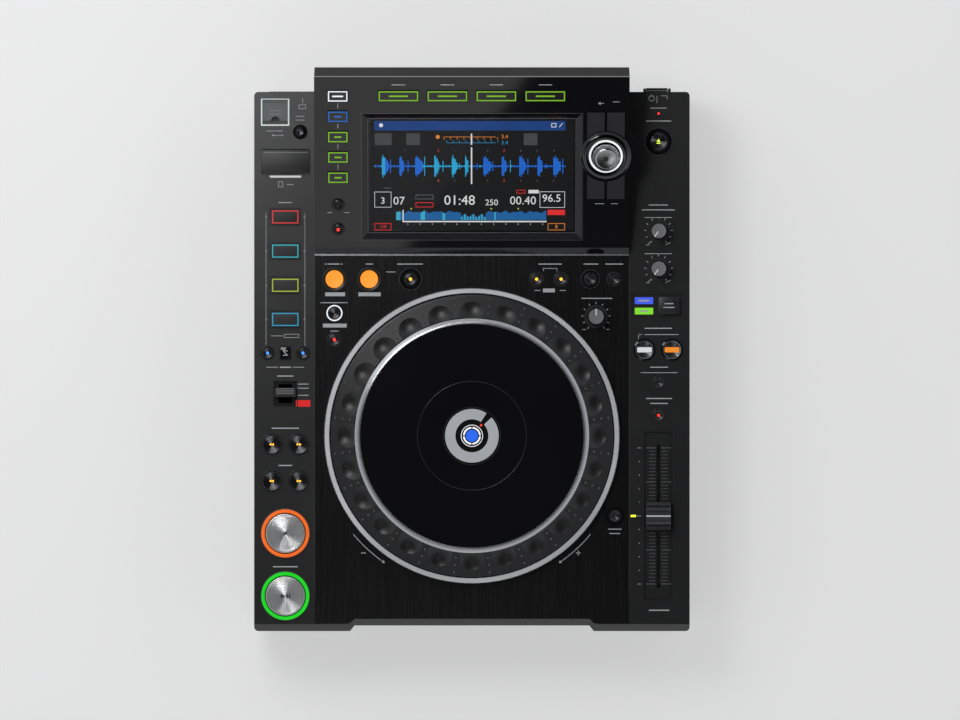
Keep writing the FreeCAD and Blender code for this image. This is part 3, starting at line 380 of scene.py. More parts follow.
def clear_glass(name):
    """Nearly clear cover, a little smoky."""
    if name in bpy.data.materials:
        return bpy.data.materials[name]
    material, tree, shader = blank_material(name)
    grains = tree.nodes.new("ShaderNodeGroup")
    grains.node_tree = group_grain()
    sheen = tree.nodes.new("ShaderNodeMapRange")
    sheen.inputs["To Min"].default_value = 0.02
    sheen.inputs["To Max"].default_value = 0.04
    tree.links.new(grains.outputs["Cloud"], sheen.inputs["Value"])
    tree.links.new(sheen.outputs["Result"], shader.inputs["Roughness"])
    shader.inputs["Base Color"].default_value = (0.02, 0.022, 0.025, 1)
    shader.inputs["Alpha"].default_value = 0.12
    return material


# Finishes that several pieces share

LAMPS = {
    "red lamp": ((1.0, 0.03, 0.02), 2.2),
    "amber lamp": ((1.0, 0.45, 0.03), 2.4),
    "blue lamp": ((0.05, 0.25, 1.0), 2.0),
    "lime lamp": ((0.7, 0.9, 0.05), 1.8),
    "white lamp": ((0.9, 0.95, 1.0), 1.2),
}


def lamp(name):
    colour, strength = LAMPS[name]
    return lit(name, colour, strength)


def satin_black():
    return surface("satin black plastic", (0.018, 0.018, 0.02), 0.4)


def polished_black():
    return surface("polished black", (0.006, 0.006, 0.007), 0.05, bump=0.0, rough_spread=0.01)


def printed_mark():
    return surface("printed mark", colours().legend, 0.6)


def pale_line():
    return surface("lid line", (0.25, 0.27, 0.27), 0.4)


def shader_of(material):
    return material.node_tree.nodes["Principled BSDF"]


# Modelling helpers


def deselect():
    """Deselects all, so that an operator acts on the new primitive alone."""
    bpy.ops.object.select_all(action="DESELECT")


def end(name, body, material, matrix=None):
    """Names the piece, lays its place into its mesh and lets it ride on its body."""
    piece = bpy.context.object
    piece.name = name
    piece.data.transform(piece.matrix_world)
    piece.matrix_world = Matrix.Identity(4)
    if matrix is not None:
        piece.data.transform(matrix)
    piece.data.materials.clear()
    piece.data.materials.append(material)
    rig.ride(piece, body)
    return piece


def bevel(width):
    """Bevels the sharp edges of the active piece and applies it."""
    piece = bpy.context.object
    modifier = piece.modifiers.new("edges", "BEVEL")
    modifier.width = width * MM
    modifier.segments = 2
    modifier.limit_method = "ANGLE"
    modifier.angle_limit = math.radians(40)
    bpy.ops.object.modifier_apply(modifier=modifier.name)
    bpy.ops.object.shade_smooth_by_angle(angle=smooth_angle)


def block(low, high):
    """Box between two corners in millimetres, as the active piece."""
    deselect()
    low, high = Vector(low), Vector(high)
    bpy.ops.mesh.primitive_cube_add(size=1, location=(low + high) / 2 * MM, scale=(high - low) * MM)
    bpy.ops.object.transform_apply(location=False, rotation=False, scale=True)
    return bpy.context.object


def turn(profile, centre, steps):
    """Spins an open or closed profile of (radius, height) points about an upright axis."""
    deselect()
    x, y = centre
    bpy.ops.mesh.primitive_plane_add(size=0.001, location=(0, 0, 0))
    piece = bpy.context.object
    bpy.ops.object.mode_set(mode="EDIT")
    bpy.ops.mesh.select_mode(type="VERT")
    mesh = bmesh.from_edit_mesh(piece.data)
    mesh.verts.ensure_lookup_table()
    bmesh.ops.delete(mesh, geom=mesh.verts[1:], context="VERTS")
    mesh.verts.ensure_lookup_table()
    start = mesh.verts[0]
    start.co = Vector((profile[0][0], 0, profile[0][1])) * MM
    start.select = True
    bmesh.update_edit_mesh(piece.data)
    for before, after in zip(profile, profile[1:]):
        step = Vector((after[0] - before[0], 0, after[1] - before[1])) * MM
        bpy.ops.mesh.extrude_vertices_move(TRANSFORM_OT_translate={"value": step})
    bpy.ops.mesh.select_all(action="SELECT")
    bpy.ops.mesh.spin(steps=steps, angle=2 * math.pi, center=(0, 0, 0), axis=(0, 0, 1))
    bpy.ops.mesh.select_all(action="SELECT")
    bpy.ops.mesh.remove_doubles(threshold=0.00001)
    bpy.ops.mesh.normals_make_consistent(inside=False)
    bpy.ops.object.mode_set(mode="OBJECT")
    piece.data.transform(Matrix.Translation((x * MM, y * MM, 0)))
    bpy.ops.object.shade_smooth_by_angle(angle=smooth_angle)
    return piece


def rounded_block(low, high, radius, edge=0.0):
    """Box with rounded upright edges and, if asked, a soft top edge."""
    piece = block(low, high)
    bpy.ops.object.mode_set(mode="EDIT")
    bpy.ops.mesh.select_mode(type="EDGE")
    bpy.ops.mesh.select_all(action="DESELECT")
    mesh = bmesh.from_edit_mesh(piece.data)
    for one in mesh.edges:
        if abs((one.verts[0].co - one.verts[1].co).normalized().z) > 0.9:
            one.select = True
    bmesh.update_edit_mesh(piece.data)
    bpy.ops.mesh.bevel(offset=radius * MM, segments=4)
    bpy.ops.object.mode_set(mode="OBJECT")
    if edge:
        bevel(edge)
    return piece


def copies(piece, places):
    """Repeats the active piece by an array and moves each copy by its own matrix."""
    count = len(piece.data.vertices)
    modifier = piece.modifiers.new("copies", "ARRAY")
    modifier.count = len(places)
    modifier.use_relative_offset = False
    modifier.use_constant_offset = True
    modifier.constant_offset_displace = (0, 0, 0)
    bpy.ops.object.modifier_apply(modifier=modifier.name)
    vertices = piece.data.vertices
    for i, place in enumerate(places):
        for vertex in vertices[i * count:(i + 1) * count]:
            vertex.co = place @ vertex.co
    return piece


def new_shape(kind):
    """Unit cube, disc, triangle or bead at the origin, as the active piece."""
    deselect()
    if kind == "cube":
        bpy.ops.mesh.primitive_cube_add(size=1)
    elif kind == "disc":
        bpy.ops.mesh.primitive_cylinder_add(vertices=20, radius=1, depth=1)
    elif kind == "triangle":
        bpy.ops.mesh.primitive_cylinder_add(vertices=3, radius=1, depth=1)
    else:
        bpy.ops.mesh.primitive_uv_sphere_add(segments=12, ring_count=6, radius=1)
    return bpy.context.object


def place_at(x, y, z, size, angle=0.0):
    """Matrix that scales a unit shape, turns it about Z and moves it, in millimetres."""
    return (Matrix.Translation(Vector((x, y, z)) * MM) @ Matrix.Rotation(angle, 4, "Z")
            @ Matrix.Diagonal((size[0] * MM, size[1] * MM, size[2] * MM, 1)))


def slab(low, high):
    """Place of a box between two corners."""
    low, high = Vector(low), Vector(high)
    centre, size = (low + high) / 2, high - low
    return [("cube", place_at(centre.x, centre.y, centre.z, size))]


def strip(start, finish, wide, z, height=print_height):
    """Place of a thin straight line from start to finish, both (x, y)."""
    start, finish = Vector(start), Vector(finish)
    along = finish - start
    centre = (start + finish) / 2
    return [("cube", place_at(centre.x, centre.y, z + height / 2, (along.length, wide, height),
                              math.atan2(along.y, along.x)))]


def bars(z, rows, x=0.0):
    """Places of lines across the picture, from rows of (left, right, y, width) about x."""
    places = []
    for left, right, y, wide in rows:
        places += strip((x + left, y), (x + right, y), wide, z)
    return places


def posts(z, rows, x=0.0):
    """Places of lines up the picture, from rows of (x, low y, high y, width) about x."""
    places = []
    for across, low, high, wide in rows:
        places += strip((x + across, low), (x + across, high), wide, z)
    return places


def dot(x, y, radius, z, height=print_height):
    """Place of a small round dot."""
    return [("disc", place_at(x, y, z + height / 2, (radius, radius, height)))]


def arrow(x, y, size, angle, z):
    """Place of a small triangle pointing along an angle in degrees."""
    place = place_at(x, y, z + print_height / 2, (size, size, print_height), math.radians(angle - 90))
    return [("triangle", place)]


def bead(x, y, z, radius):
    """Place of a small ball."""
    return [("ball", place_at(x, y, z, (radius, radius, radius)))]


def frame_line(x, y, wide, deep, line, z, height=frame_height):
    """Places of four thin bars that make a rectangular outline about a centre."""
    half_w, half_d = wide / 2, deep / 2
    return (slab((x - half_w, y - half_d, z), (x + half_w, y - half_d + line, z + height))
            + slab((x - half_w, y + half_d - line, z), (x + half_w, y + half_d, z + height))
            + slab((x - half_w, y - half_d + line, z), (x - half_w + line, y + half_d - line, z + height))
            + slab((x + half_w - line, y - half_d + line, z), (x + half_w, y + half_d - line, z + height)))


def arc_line(x, y, radius, start, finish, wide, z, steps=24):
    """Places of short straight lines along an arc, angles in degrees."""
    places = []
    for i in range(steps):
        a = math.radians(start + (finish - start) * i / steps)
        b = math.radians(start + (finish - start) * (i + 1) / steps)
        places += strip((x + radius * math.cos(a), y + radius * math.sin(a)),
                        (x + radius * math.cos(b), y + radius * math.sin(b)), wide, z)
    return places


def join_pieces(parts):
    """Makes one piece of placed unit shapes and ready pieces."""
    ready, places = [], {}
    for part in parts:
        if isinstance(part, list):
            for kind, place in part:
                places.setdefault(kind, []).append(place)
        else:
            ready.append(part)
    for kind, spots in places.items():
        ready.append(copies(new_shape(kind), spots))
    bpy.ops.object.select_all(action="DESELECT")
    for part in ready:
        part.select_set(True)
    bpy.context.view_layer.objects.active = ready[0]
    if len(ready) > 1:
        bpy.ops.object.join()
    return bpy.context.object


def paint(node, *materials):
    """Gives a CAD node its finish."""
    piece = frame["nodes"][node]
    piece.data.materials.clear()
    for material in materials:
        piece.data.materials.append(material)
    return piece


# Operators, one for each piece or group of like pieces


class PLAYER_OT_finishes(bpy.types.Operator):
    """Give the carried-over pieces their finishes"""

    bl_idname = "player.finishes"
    bl_label = "Finishes"

    def execute(self, context):
        c = colours()
        case = surface("moulded case", c.case, 0.33, grain=0.4, bump=0.02, fine=2600)
        shader_of(case).inputs["Specular IOR Level"].default_value = 0.8
        steel = surface("dark coated steel", (0.02, 0.02, 0.021), 0.5, bump=0.04, fine=1900)
        gloss = polished_black()
        satin = satin_black()
        bare = surface("bare steel", (0.5, 0.5, 0.51), 0.3, metal=1.0, fine=600, stretch=(1, 12, 1))
        rubber = surface("black rubber", (0.012, 0.012, 0.012), 0.8, bump=0.05, fine=900)
        board = surface("circuit board", (0.01, 0.09, 0.03), 0.45, fine=400, spread=0.4)
        trim = surface("bright trim", c.trim, 0.3, metal=1.0, fine=500, stretch=(20, 1, 1), bump=0.006)
        deck_metal = surface(
            "brushed deck", c.deck, 0.27, metal=0.85, grain=0.75, bump=0.008, fine=1100,
            broad=160, stretch=(1, 0.03, 1), spread=0.22, rough_spread=0.04)
        housing = surface("housing plastic", (0.008, 0.008, 0.009), 0.5, bump=0.01)
        shader_of(housing).inputs["Specular IOR Level"].default_value = 0.05
        paint("console_housing", housing)
        for node in ("upper_case", "usb_lid", "sd_door"):
            paint(node, case)
        for node in ("console_panel", "display_frame"):
            paint(node, gloss)
        for node in ("direction_lever", "card_reader", "usb_socket", "power_inlet", "power_button",
                     "turntable", "pickup_sled", "jog_adjust_knob", "touch_brake_knob", "release_start_knob"):
            paint(node, satin)
        for node in ("jog_base", "drive_frame", "pickup_chassis", "fader_unit", "chassis_screws",
                     "rear_sockets", "selector_shaft"):
            paint(node, bare)
        for node in ("main_board", "power_supply", "panel_boards"):
            paint(node, board)
        for node in ("rubber_feet", "loading_roller"):
            paint(node, rubber)
        paint("bottom_chassis", steel)
        paint("deck_plate", deck_metal)
        paint("console_trim", trim)
        paint("jog_trim_ring", trim)
        paint("lcd_module", surface("dark screen", (0.004, 0.005, 0.01), 0.2))
        paint("display_glass", clear_glass("display glass"))
        paint("jog_display", surface("jog display face", (0.01, 0.01, 0.011), 0.12, coat=0.5))
        paint("tempo_slider", satin)
        for node in ("search_keys", "bank_keys", "loop_keys", "memory_keys", "mode_keys", "tempo_keys",
                     "console_caps", "loop_in_button", "loop_out_button", "disc_eject_button",
                     "source_keys", "menu_keys", "selector_keys", "jog_mode_key"):
            paint(node, satin)
        paint("button_rings", gloss)
        return {"FINISHED"}


class PLAYER_OT_stage(bpy.types.Operator):
    """Set up the floor, the soft studio lights and the camera"""

    bl_idname = "player.stage"
    bl_label = "Studio"

    view_width: bpy.props.FloatProperty(
        name="View width", description="Width of the picture at the deck", unit="LENGTH", default=0.7054)
    distance: bpy.props.FloatProperty(
        name="Camera distance", description="Camera above the deck", unit="LENGTH", default=8.0)

    def light(self, name, place, aim, size, power):
        deselect()
        bpy.ops.object.light_add(type="AREA", location=place)
        panel = bpy.context.object
        panel.name = name
        panel.data.shape = "RECTANGLE"
        panel.data.size, panel.data.size_y = size
        panel.data.energy = power
        panel.visible_camera = False
        panel.rotation_euler = (Vector(aim) - Vector(place)).to_track_quat("-Z", "Y").to_euler()
        return panel

    def room(self):
        """Room that is dark overhead and pale at its sides."""
        world = bpy.data.worlds.new("room")
        bpy.context.scene.world = world
        world.use_nodes = True
        tree = world.node_tree
        place = tree.nodes.new("ShaderNodeTexCoord")
        split = tree.nodes.new("ShaderNodeSeparateXYZ")
        ramp = tree.nodes.new("ShaderNodeValToRGB")
        ramp.color_ramp.elements[0].position = 0.6
        ramp.color_ramp.elements[0].color = (0.95, 0.96, 0.99, 1)
        ramp.color_ramp.elements[1].position = 0.84
        ramp.color_ramp.elements[1].color = (0.02, 0.0205, 0.021, 1)
        tree.links.new(place.outputs["Generated"], split.inputs[0])
        tree.links.new(split.outputs["Z"], ramp.inputs["Fac"])
        back = tree.nodes["Background"]
        tree.links.new(ramp.outputs["Color"], back.inputs["Color"])
        back.inputs["Strength"].default_value = 0.66

    def execute(self, context):
        deselect()
        bpy.ops.mesh.primitive_plane_add(size=12)
        floor = bpy.context.object
        floor.name = "floor"
        pale = surface("pale floor", (0.56, 0.56, 0.562), 0.85, bump=0.0, spread=0.01, fine=40, broad=3)
        glow = shader_of(pale)
        glow.inputs["Emission Color"].default_value = (1.0, 1.0, 1.0, 1)
        glow.inputs["Emission Strength"].default_value = 0.46
        floor.data.materials.append(pale)
        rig.stage(floor)
        self.light("window", (-0.38, 0.42, 1.1), (-0.38, 0.42, 0), (0.42, 0.42), 3.3)
        self.light("key", (-1.6, 1.7, 1.9), (0, 0, 0), (1.8, 1.8), 6)
        card = self.light("console card", (-0.089, -0.475, 1.1), (-0.089, -0.475, 0), (0.2, 0.35), 0.19)
        card.rotation_euler = (0, 0, math.radians(-30))
        self.light("edge card", (-0.12, 0.72, 1.1), (-0.12, 0.72, 0), (0.36, 0.1), 0.45)
        self.room()
        centre = Vector((5.95 * MM, -7.7 * MM, deck * MM + self.distance))
        bpy.ops.object.camera_add(location=centre, rotation=(0, 0, 0))
        camera = bpy.context.object
        camera.data.sensor_width = 36
        camera.data.lens = 36 * self.distance / self.view_width
        camera.data.clip_end = 30
        context.scene.camera = camera
        context.scene.view_settings.view_transform = "Standard"
        return {"FINISHED"}


def lit_ring(name, body, spot, inner, outer, low, high, material):
    """Rounded light ring about a spot."""
    soft = (outer - inner) * 0.3
    turn([(inner, low), (outer, low), (outer, high - soft), (outer - soft, high), (inner + soft, high),
          (inner, high - soft), (inner, low)], (spot.x, spot.y), 72)
    return end(name, body, material)


def round_cap(name, body, spot, radius, top, material, dish):
    """Round button face with a bevelled rim and a shallow dish, fitted over the plain key."""
    low = deck + 0.05
    rim = 0.5
    turn([(radius + 0.12, low), (radius + 0.12, top - rim * 0.5), (radius - rim * 0.5, top + 0.15),
          (radius - rim * 1.6, top + 0.12), (radius * 0.45, top - dish * 0.5), (0, top - dish * 0.6)],
         (spot.x, spot.y), 48)
    return end(name, body, material)


class PLAYER_OT_transport(bpy.types.Operator):
    """Spun metal faces and light rings of the play and cue buttons"""

    bl_idname = "player.transport"
    bl_label = "Play and cue"

    def execute(self, context):
        c = colours()
        for name, spot, colour in (("cue", cue_spot, c.cue), ("play", play_spot, c.play)):
            top = span(name + "_button")[1].z
            metal = spun("spun " + name, (0.72, 0.72, 0.72), (spot.x, spot.y, top), 0.2, 14000.0, 0.05)
            turn([(14.32, deck + 0.1), (14.32, top), (13.7, top + 0.45), (12.6, top + 0.5),
                  (11.8, top + 0.25), (0, top + 0.12)], (spot.x, spot.y), 72)
            end(name + "_face", name + "_button", metal)
            glow = lit(name + " light", colour, 0.8, 0.3)
            lit_ring(name + "_light_ring", "root", spot, 15.0, 17.7, deck + 0.6, deck + 1.7, glow)
            turn([(17.75, deck), (18.6, deck), (18.5, deck + 0.9), (17.8, deck + 1.2), (17.75, deck)],
                 (spot.x, spot.y), 72)
            end(name + "_surround", "root", satin_black())
            mark = surface("dark mark", (0.03, 0.03, 0.03), 0.5)
            z = top + 0.2
            if name == "play":
                parts = [arrow(spot.x - 2.4, spot.y, 1.9, 0, z)]
                low_y, high_y = spot.y - 1.6, spot.y + 1.6
                parts.append(posts(z, ((1.2, low_y, high_y, 1.0), (3.1, low_y, high_y, 1.0)), spot.x))
            else:
                parts = [dot(spot.x, spot.y, 1.1, z)]
            join_pieces(parts)
            end(name + "_mark", name + "_button", mark)
        return {"FINISHED"}


class PLAYER_OT_pads(bpy.types.Operator):
    """Hot cue pads with their lit frames"""

    bl_idname = "player.pads"
    bl_label = "Hot cue pads"

    def execute(self, context):
        pad = surface("pad rubber", (0.022, 0.022, 0.024), 0.55, bump=0.03, fine=2200)
        glows = ((0.9, 0.04, 0.04), (0.03, 0.55, 0.62), (0.5, 0.62, 0.05), (0.03, 0.42, 0.68))
        for letter, glow in zip("abcd", glows):
            node = "hot_cue_pad_" + letter
            spot = middle(node)
            top = span(node)[1].z
            low, high = (spot.x - 10.3, spot.y - 5.4, deck + 0.1), (spot.x + 10.3, spot.y + 5.4, top + 0.5)
            rounded_block(low, high, 1.0, 0.5)
            end("pad_top_" + letter, node, pad)
            join_pieces([frame_line(spot.x, spot.y, 19.4, 9.6, glow_line(), top + 0.45, 0.12)])
            end("pad_light_" + letter, node, lit("pad light " + letter, glow, 0.75, 0.1))
            join_pieces([frame_line(spot.x, spot.y, 23.6, 13.6, 0.5, deck, 0.25)])
            end("pad_surround_" + letter, "root", satin_black())
        top_y, low_y = middle("hot_cue_pad_a").y + 3, middle("hot_cue_pad_d").y - 20
        for x in (left_x - 14.2, left_x + 14.4):
            join_pieces([strip((x, low_y), (x, top_y), 0.3, deck)])
            end("pad_line_%d" % x, "root", printed_mark())
        return {"FINISHED"}


def keys_of(node):
    """Centre and radius of each separate round key in a node, read from its flat top."""
    mesh = frame["nodes"][node].data
    high = max(v.co.z for v in mesh.vertices)
    tops = [v.co / MM for v in mesh.vertices if v.co.z > high - 0.05 * MM]
    groups = []
    for point in tops:
        for group in groups:
            if any((point - other).length < 4.5 for other in group):
                group.append(point)
                break
        else:
            groups.append([point])
    found = []
    for group in groups:
        low = Vector((min(p.x for p in group), min(p.y for p in group), high / MM))
        top = Vector((max(p.x for p in group), max(p.y for p in group), high / MM))
        if top.x - low.x > 4:
            found.append(((low + top) / 2, (top.x - low.x) / 2, (top.y - low.y) / 2))
    return sorted(found, key=lambda one: (round(one[0].y), one[0].x))


class PLAYER_OT_round_keys(bpy.types.Operator):
    """Turned caps, bezels and lit dots of the round keys"""

    bl_idname = "player.round_keys"
    bl_label = "Round keys"

    def key(self, node, i, spot, wide, light):
        """Cap and bezel of one round key, with its mark or lamp."""
        radius = wide - fit_gap
        finish = spun("%s turned %d" % (node, i), (0.10, 0.10, 0.105), spot, 0.16, 11000.0, 0.04)
        round_cap("%s_cap_%d" % (node, i), node, spot, radius, spot.z + 0.35, finish, 0.5)
        turn([(radius + 0.5, deck), (radius + 1.6, deck), (radius + 1.5, deck + 0.6),
              (radius + 1.0, deck + 0.9), (radius + 0.55, deck + 0.7), (radius + 0.5, deck)],
             (spot.x, spot.y), 48)
        end("%s_bezel_%d" % (node, i), "root", polished_black())
        z = spot.z + 0.2
        if node == "search_keys":
            way = 180 if spot.x < left_x else 0
            join_pieces([arrow(spot.x + x, spot.y, 1.1, way, z) for x in (-0.9, 0.9)])
            end("search_arrow_%d" % i, node, light)
        elif node == "disc_eject_button":
            foot = bars(z, ((-1.4, 1.4, spot.y - 1.2, 0.6),), spot.x)
            join_pieces([arrow(spot.x, spot.y + 0.6, 1.5, 90, z), foot])
            end("eject_mark", node, light)
        elif light:
            join_pieces([dot(spot.x, spot.y, radius * 0.28, z, 0.2)])
            end("%s_lamp_%d" % (node, i), node, light)

    def loop_buttons(self):
        """Lit caps and turned bezels of the loop in and loop out buttons."""
        glow = lit("loop cap light", (1.0, 0.33, 0.03), 0.95, 0.5)
        for node in ("loop_in_button", "loop_out_button"):
            spot = middle(node)
            round_cap(node + "_cap", node, spot, 6.4, span(node)[1].z + 0.4, glow, 0.3)
            turn([(6.8, deck + 0.6), (9.2, deck + 0.6), (9.0, deck + 1.2), (8.2, deck + 1.7),
                  (6.8, deck + 1.1), (6.8, deck + 0.6)], (spot.x, spot.y), 48)
            dark = spun(node + " bezel", (0.05, 0.05, 0.052), (spot.x, spot.y, deck), 0.2)
            end(node + "_bezel", "root", dark)

    def mode_keys(self):
        """Pale turned caps of the sync and master keys, each with a lit window."""
        glows = ((0.75, 0.76, 0.8), (0.95, 0.3, 0.03))
        for i, (spot, wide, deep) in enumerate(keys_of("mode_keys")):
            finish = spun("mode cap %d" % i, (0.4, 0.4, 0.41), spot, 0.2, 11000.0, 0.02)
            round_cap("mode_cap_%d" % i, "mode_keys", spot, wide - fit_gap, spot.z + 0.4, finish, 0.3)
            rounded_block(spot + Vector((-5.4, -1.9, 0.2)), spot + Vector((5.4, 1.9, 0.62)), 0.9)
            end("mode_window_%d" % i, "mode_keys", lit("mode window %d" % i, glows[i], 0.8, 0.4))
            turn([(wide + 0.5, deck), (wide + 1.6, deck), (wide + 1.5, deck + 0.6), (wide + 0.6, deck + 0.8),
                  (wide + 0.5, deck)], (spot.x, spot.y), 48)
            end("mode_bezel_%d" % i, "root", polished_black())

    def bank_middle(self):
        """Face and mark of the rectangular key between the two round bank keys."""
        top = span("bank_keys")[1].z + 0.4
        rounded_block((left_x - 3.7, -7.0, deck + 0.1), (left_x + 3.7, 1.8, top), 0.8, 0.25)
        end("bank_middle_face", "bank_keys", polished_black())
        low_y, high_y = -4.2, -1.0
        join_pieces([bars(top, ((-1.8, 1.8, low_y, 0.6), (-1.8, 1.8, high_y, 0.6)), left_x),
                     strip((left_x + 1.8, low_y), (left_x - 1.8, high_y), 0.6, top)])
        end("bank_middle_mark", "bank_keys", printed_mark())

    def execute(self, context):
        lights = {
            "search_keys": ["amber"] * 4, "bank_keys": ["blue", "blue", None],
            "loop_keys": ["red", None, "amber"], "memory_keys": ["amber", "amber", None, None],
            "tempo_keys": [None, "red", None], "disc_eject_button": ["lime"],
        }
        for node, names in lights.items():
            for i, (spot, wide, deep) in enumerate(keys_of(node)):
                if abs(wide - deep) < 0.3:
                    light = lamp(names[i] + " lamp") if names[i] else None
                    self.key(node, i, spot, wide, light)
        self.loop_buttons()
        self.mode_keys()
        self.bank_middle()
        # Thin pale rings along the outer edges of three black key bezels, the eject key's among them, are painted
        # highlights.
        edge = surface("ring edge", (0.10, 0.10, 0.105), 0.3, metal=0.6)
        rims = (("disc_eject_button", 0, 10.1), ("loop_keys", 2, 8.1), ("memory_keys", 2, 6.8))
        for node, i, radius in rims:
            spot = keys_of(node)[i][0]
            turn([(radius - 0.25, deck + 0.8), (radius - 0.15, deck + 0.87), (radius + 0.15, deck + 0.87),
                  (radius + 0.25, deck + 0.8)], (spot.x, spot.y), 60)
            end(node + "_ring_edge", "root", edge)
        beat = keys_of("loop_keys")[1][0]
        lit_ring("beat_ring", "root", beat, 5.0, 5.9, deck + 0.5, deck + 1.0, lamp("white lamp"))
        return {"FINISHED"}


def sector(x, y, inner, outer, start, finish, z):
    """Flat ring band between two radii and two angles in degrees."""
    steps = max(4, int(abs(finish - start) / 5))
    deselect()
    bpy.ops.mesh.primitive_grid_add(x_subdivisions=steps, y_subdivisions=1, size=1)
    piece = bpy.context.object
    for vertex in piece.data.vertices:
        angle = math.radians(start + (0.5 - vertex.co.x) * (finish - start))
        radius = inner + (vertex.co.y + 0.5) * (outer - inner)
        vertex.co = Vector((x + radius * math.cos(angle), y + radius * math.sin(angle), z)) * MM
    modifier = piece.modifiers.new("thickness", "SOLIDIFY")
    modifier.thickness = print_height * MM
    modifier.offset = 1
    bpy.ops.object.modifier_apply(modifier=modifier.name)
    return piece


def digits(text, x, y, size, z):
    """Plain numbers as a mesh, with their middle at (x, y)."""
    deselect()
    bpy.ops.object.text_add(location=(0, 0, 0))
    piece = bpy.context.object
    piece.data.body = text
    piece.data.size = size * MM
    piece.data.align_x = "CENTER"
    piece.data.align_y = "CENTER"
    piece.data.extrude = print_height / 2 * MM
    piece.data.resolution_u = 3
    bpy.ops.object.convert(target="MESH")
    bpy.context.object.data.transform(Matrix.Translation((x * MM, y * MM, (z + print_height / 2) * MM)))
    return bpy.context.object


class PLAYER_OT_jog(bpy.types.Operator):
    """Finger dots, bright plate edge and centre graphics of the jog wheel"""

    bl_idname = "player.jog"
    bl_label = "Jog wheel"

    def execute(self, context):
        y = wheel_centre.y
        wheel = surface("wheel plastic", (0.014, 0.014, 0.015), 0.33, bump=0.02, fine=2400, spread=0.05)
        paint("jog_wheel", wheel)
        paint("jog_top_plate", surface(
            "plate gloss", (0.006, 0.006, 0.007), 0.14, bump=0.0, coat=0.3, rough_spread=0.03, spread=0.1))
        parts = []
        # The beads stand for the finger dimples; their grey, lighter than the wheel's plastic, is painted sheen.
        for i in range(dimple_count):
            angle = 2 * math.pi * (i + 0.5) / dimple_count + math.pi / 2
            for radius in bead_circles:
                z = rim_foot + (wheel_radius - radius) * rim_slope
                parts.append(bead(radius * math.cos(angle), y + radius * math.sin(angle), z + 0.05, 0.95))
        join_pieces(parts)
        bpy.ops.object.shade_smooth()
        end("finger_beads", "jog_wheel", surface("bead plastic", (0.09, 0.09, 0.092), 0.25, bump=0.0))
        turn([(103.62, 74.6), (103.62, 79.1), (103.2, 79.35), (102.6, 79.5), (102.5, 79.3)], (0, y), 120)
        end("wheel_edge", "jog_wheel", surface("wheel edge", (0.03, 0.03, 0.032), 0.2, bump=0.0))
        turn([(108.3, deck), (108.3, 78.9), (107.8, 79.58), (105.0, 79.58), (104.6, 79.1), (104.6, deck)],
             (0, y), 144)
        end("trim_ring_cover", "root", surface("ring metal", (0.8, 0.8, 0.81), 0.56, metal=1.0, bump=0.002))
        metal = spun("plate rim metal", (0.52, 0.53, 0.54), (0, y, plate_top), 0.16, 9000.0, 0.02)
        turn([(86.02, plate_top - 2.6), (86.02, plate_top - 2.15), (82.9, plate_top + 0.05),
              (82.3, plate_top + 0.07), (82.2, plate_top)], (0, y), 144)
        end("plate_rim", "jog_top_plate", metal)
        thin = surface("plate line", (0.035, 0.035, 0.037), 0.2)
        turn([(40.2, plate_top - 0.02), (40.1, plate_top + 0.03), (39.8, plate_top + 0.03),
              (39.7, plate_top - 0.02)], (0, y), 96)
        end("plate_circle", "jog_top_plate", thin)
        turn([(20.25, plate_top - 0.5), (20.9, plate_top + 0.04), (21.2, plate_top + 0.04),
              (21.3, plate_top - 0.05)], (0, y), 72)
        end("plate_hole_edge", "jog_top_plate", thin)
        self.centre_picture(y, span("jog_display")[1].z)
        return {"FINISHED"}

    def centre_picture(self, y, z):
        """Band, needle, rings and core shown at the wheel's centre."""
        grey = lit("display grey", (0.42, 0.44, 0.46), 0.62, 0.5)
        white = lit("display white", (0.9, 0.92, 0.95), 0.95, 0.5)
        sector(0, y, 12.1, 19.7, 57, 403, z)
        end("display_band", "root", grey)
        join_pieces([arc_line(0, y, 10.2, 45.5, 52.5, 1.7, z, steps=3)])
        end("display_needle", "root", lit("display red", (1.0, 0.05, 0.02), 1.6))
        sector(0, y, 7.65, 8.1, 0, 360, z)
        end("display_thin_ring", "root", white)
        join_pieces([sector(0, y, 5.3, 6.5, 4 + 90 * i, 86 + 90 * i, z) for i in range(4)])
        end("display_ring", "root", white)
        join_pieces([dot(0, y, 4.5, z)])
        end("display_core", "root", lit("display blue", (0.02, 0.12, 0.75), 1.3))


def on_panel(name, material, w, parts, body="root"):
    """Joins flat pieces drawn at (x, v) and lays them onto the console at a height w."""
    join_pieces(parts)
    return end(name, body, material, slope_matrix() @ Matrix.Translation((0, 0, w * MM)))


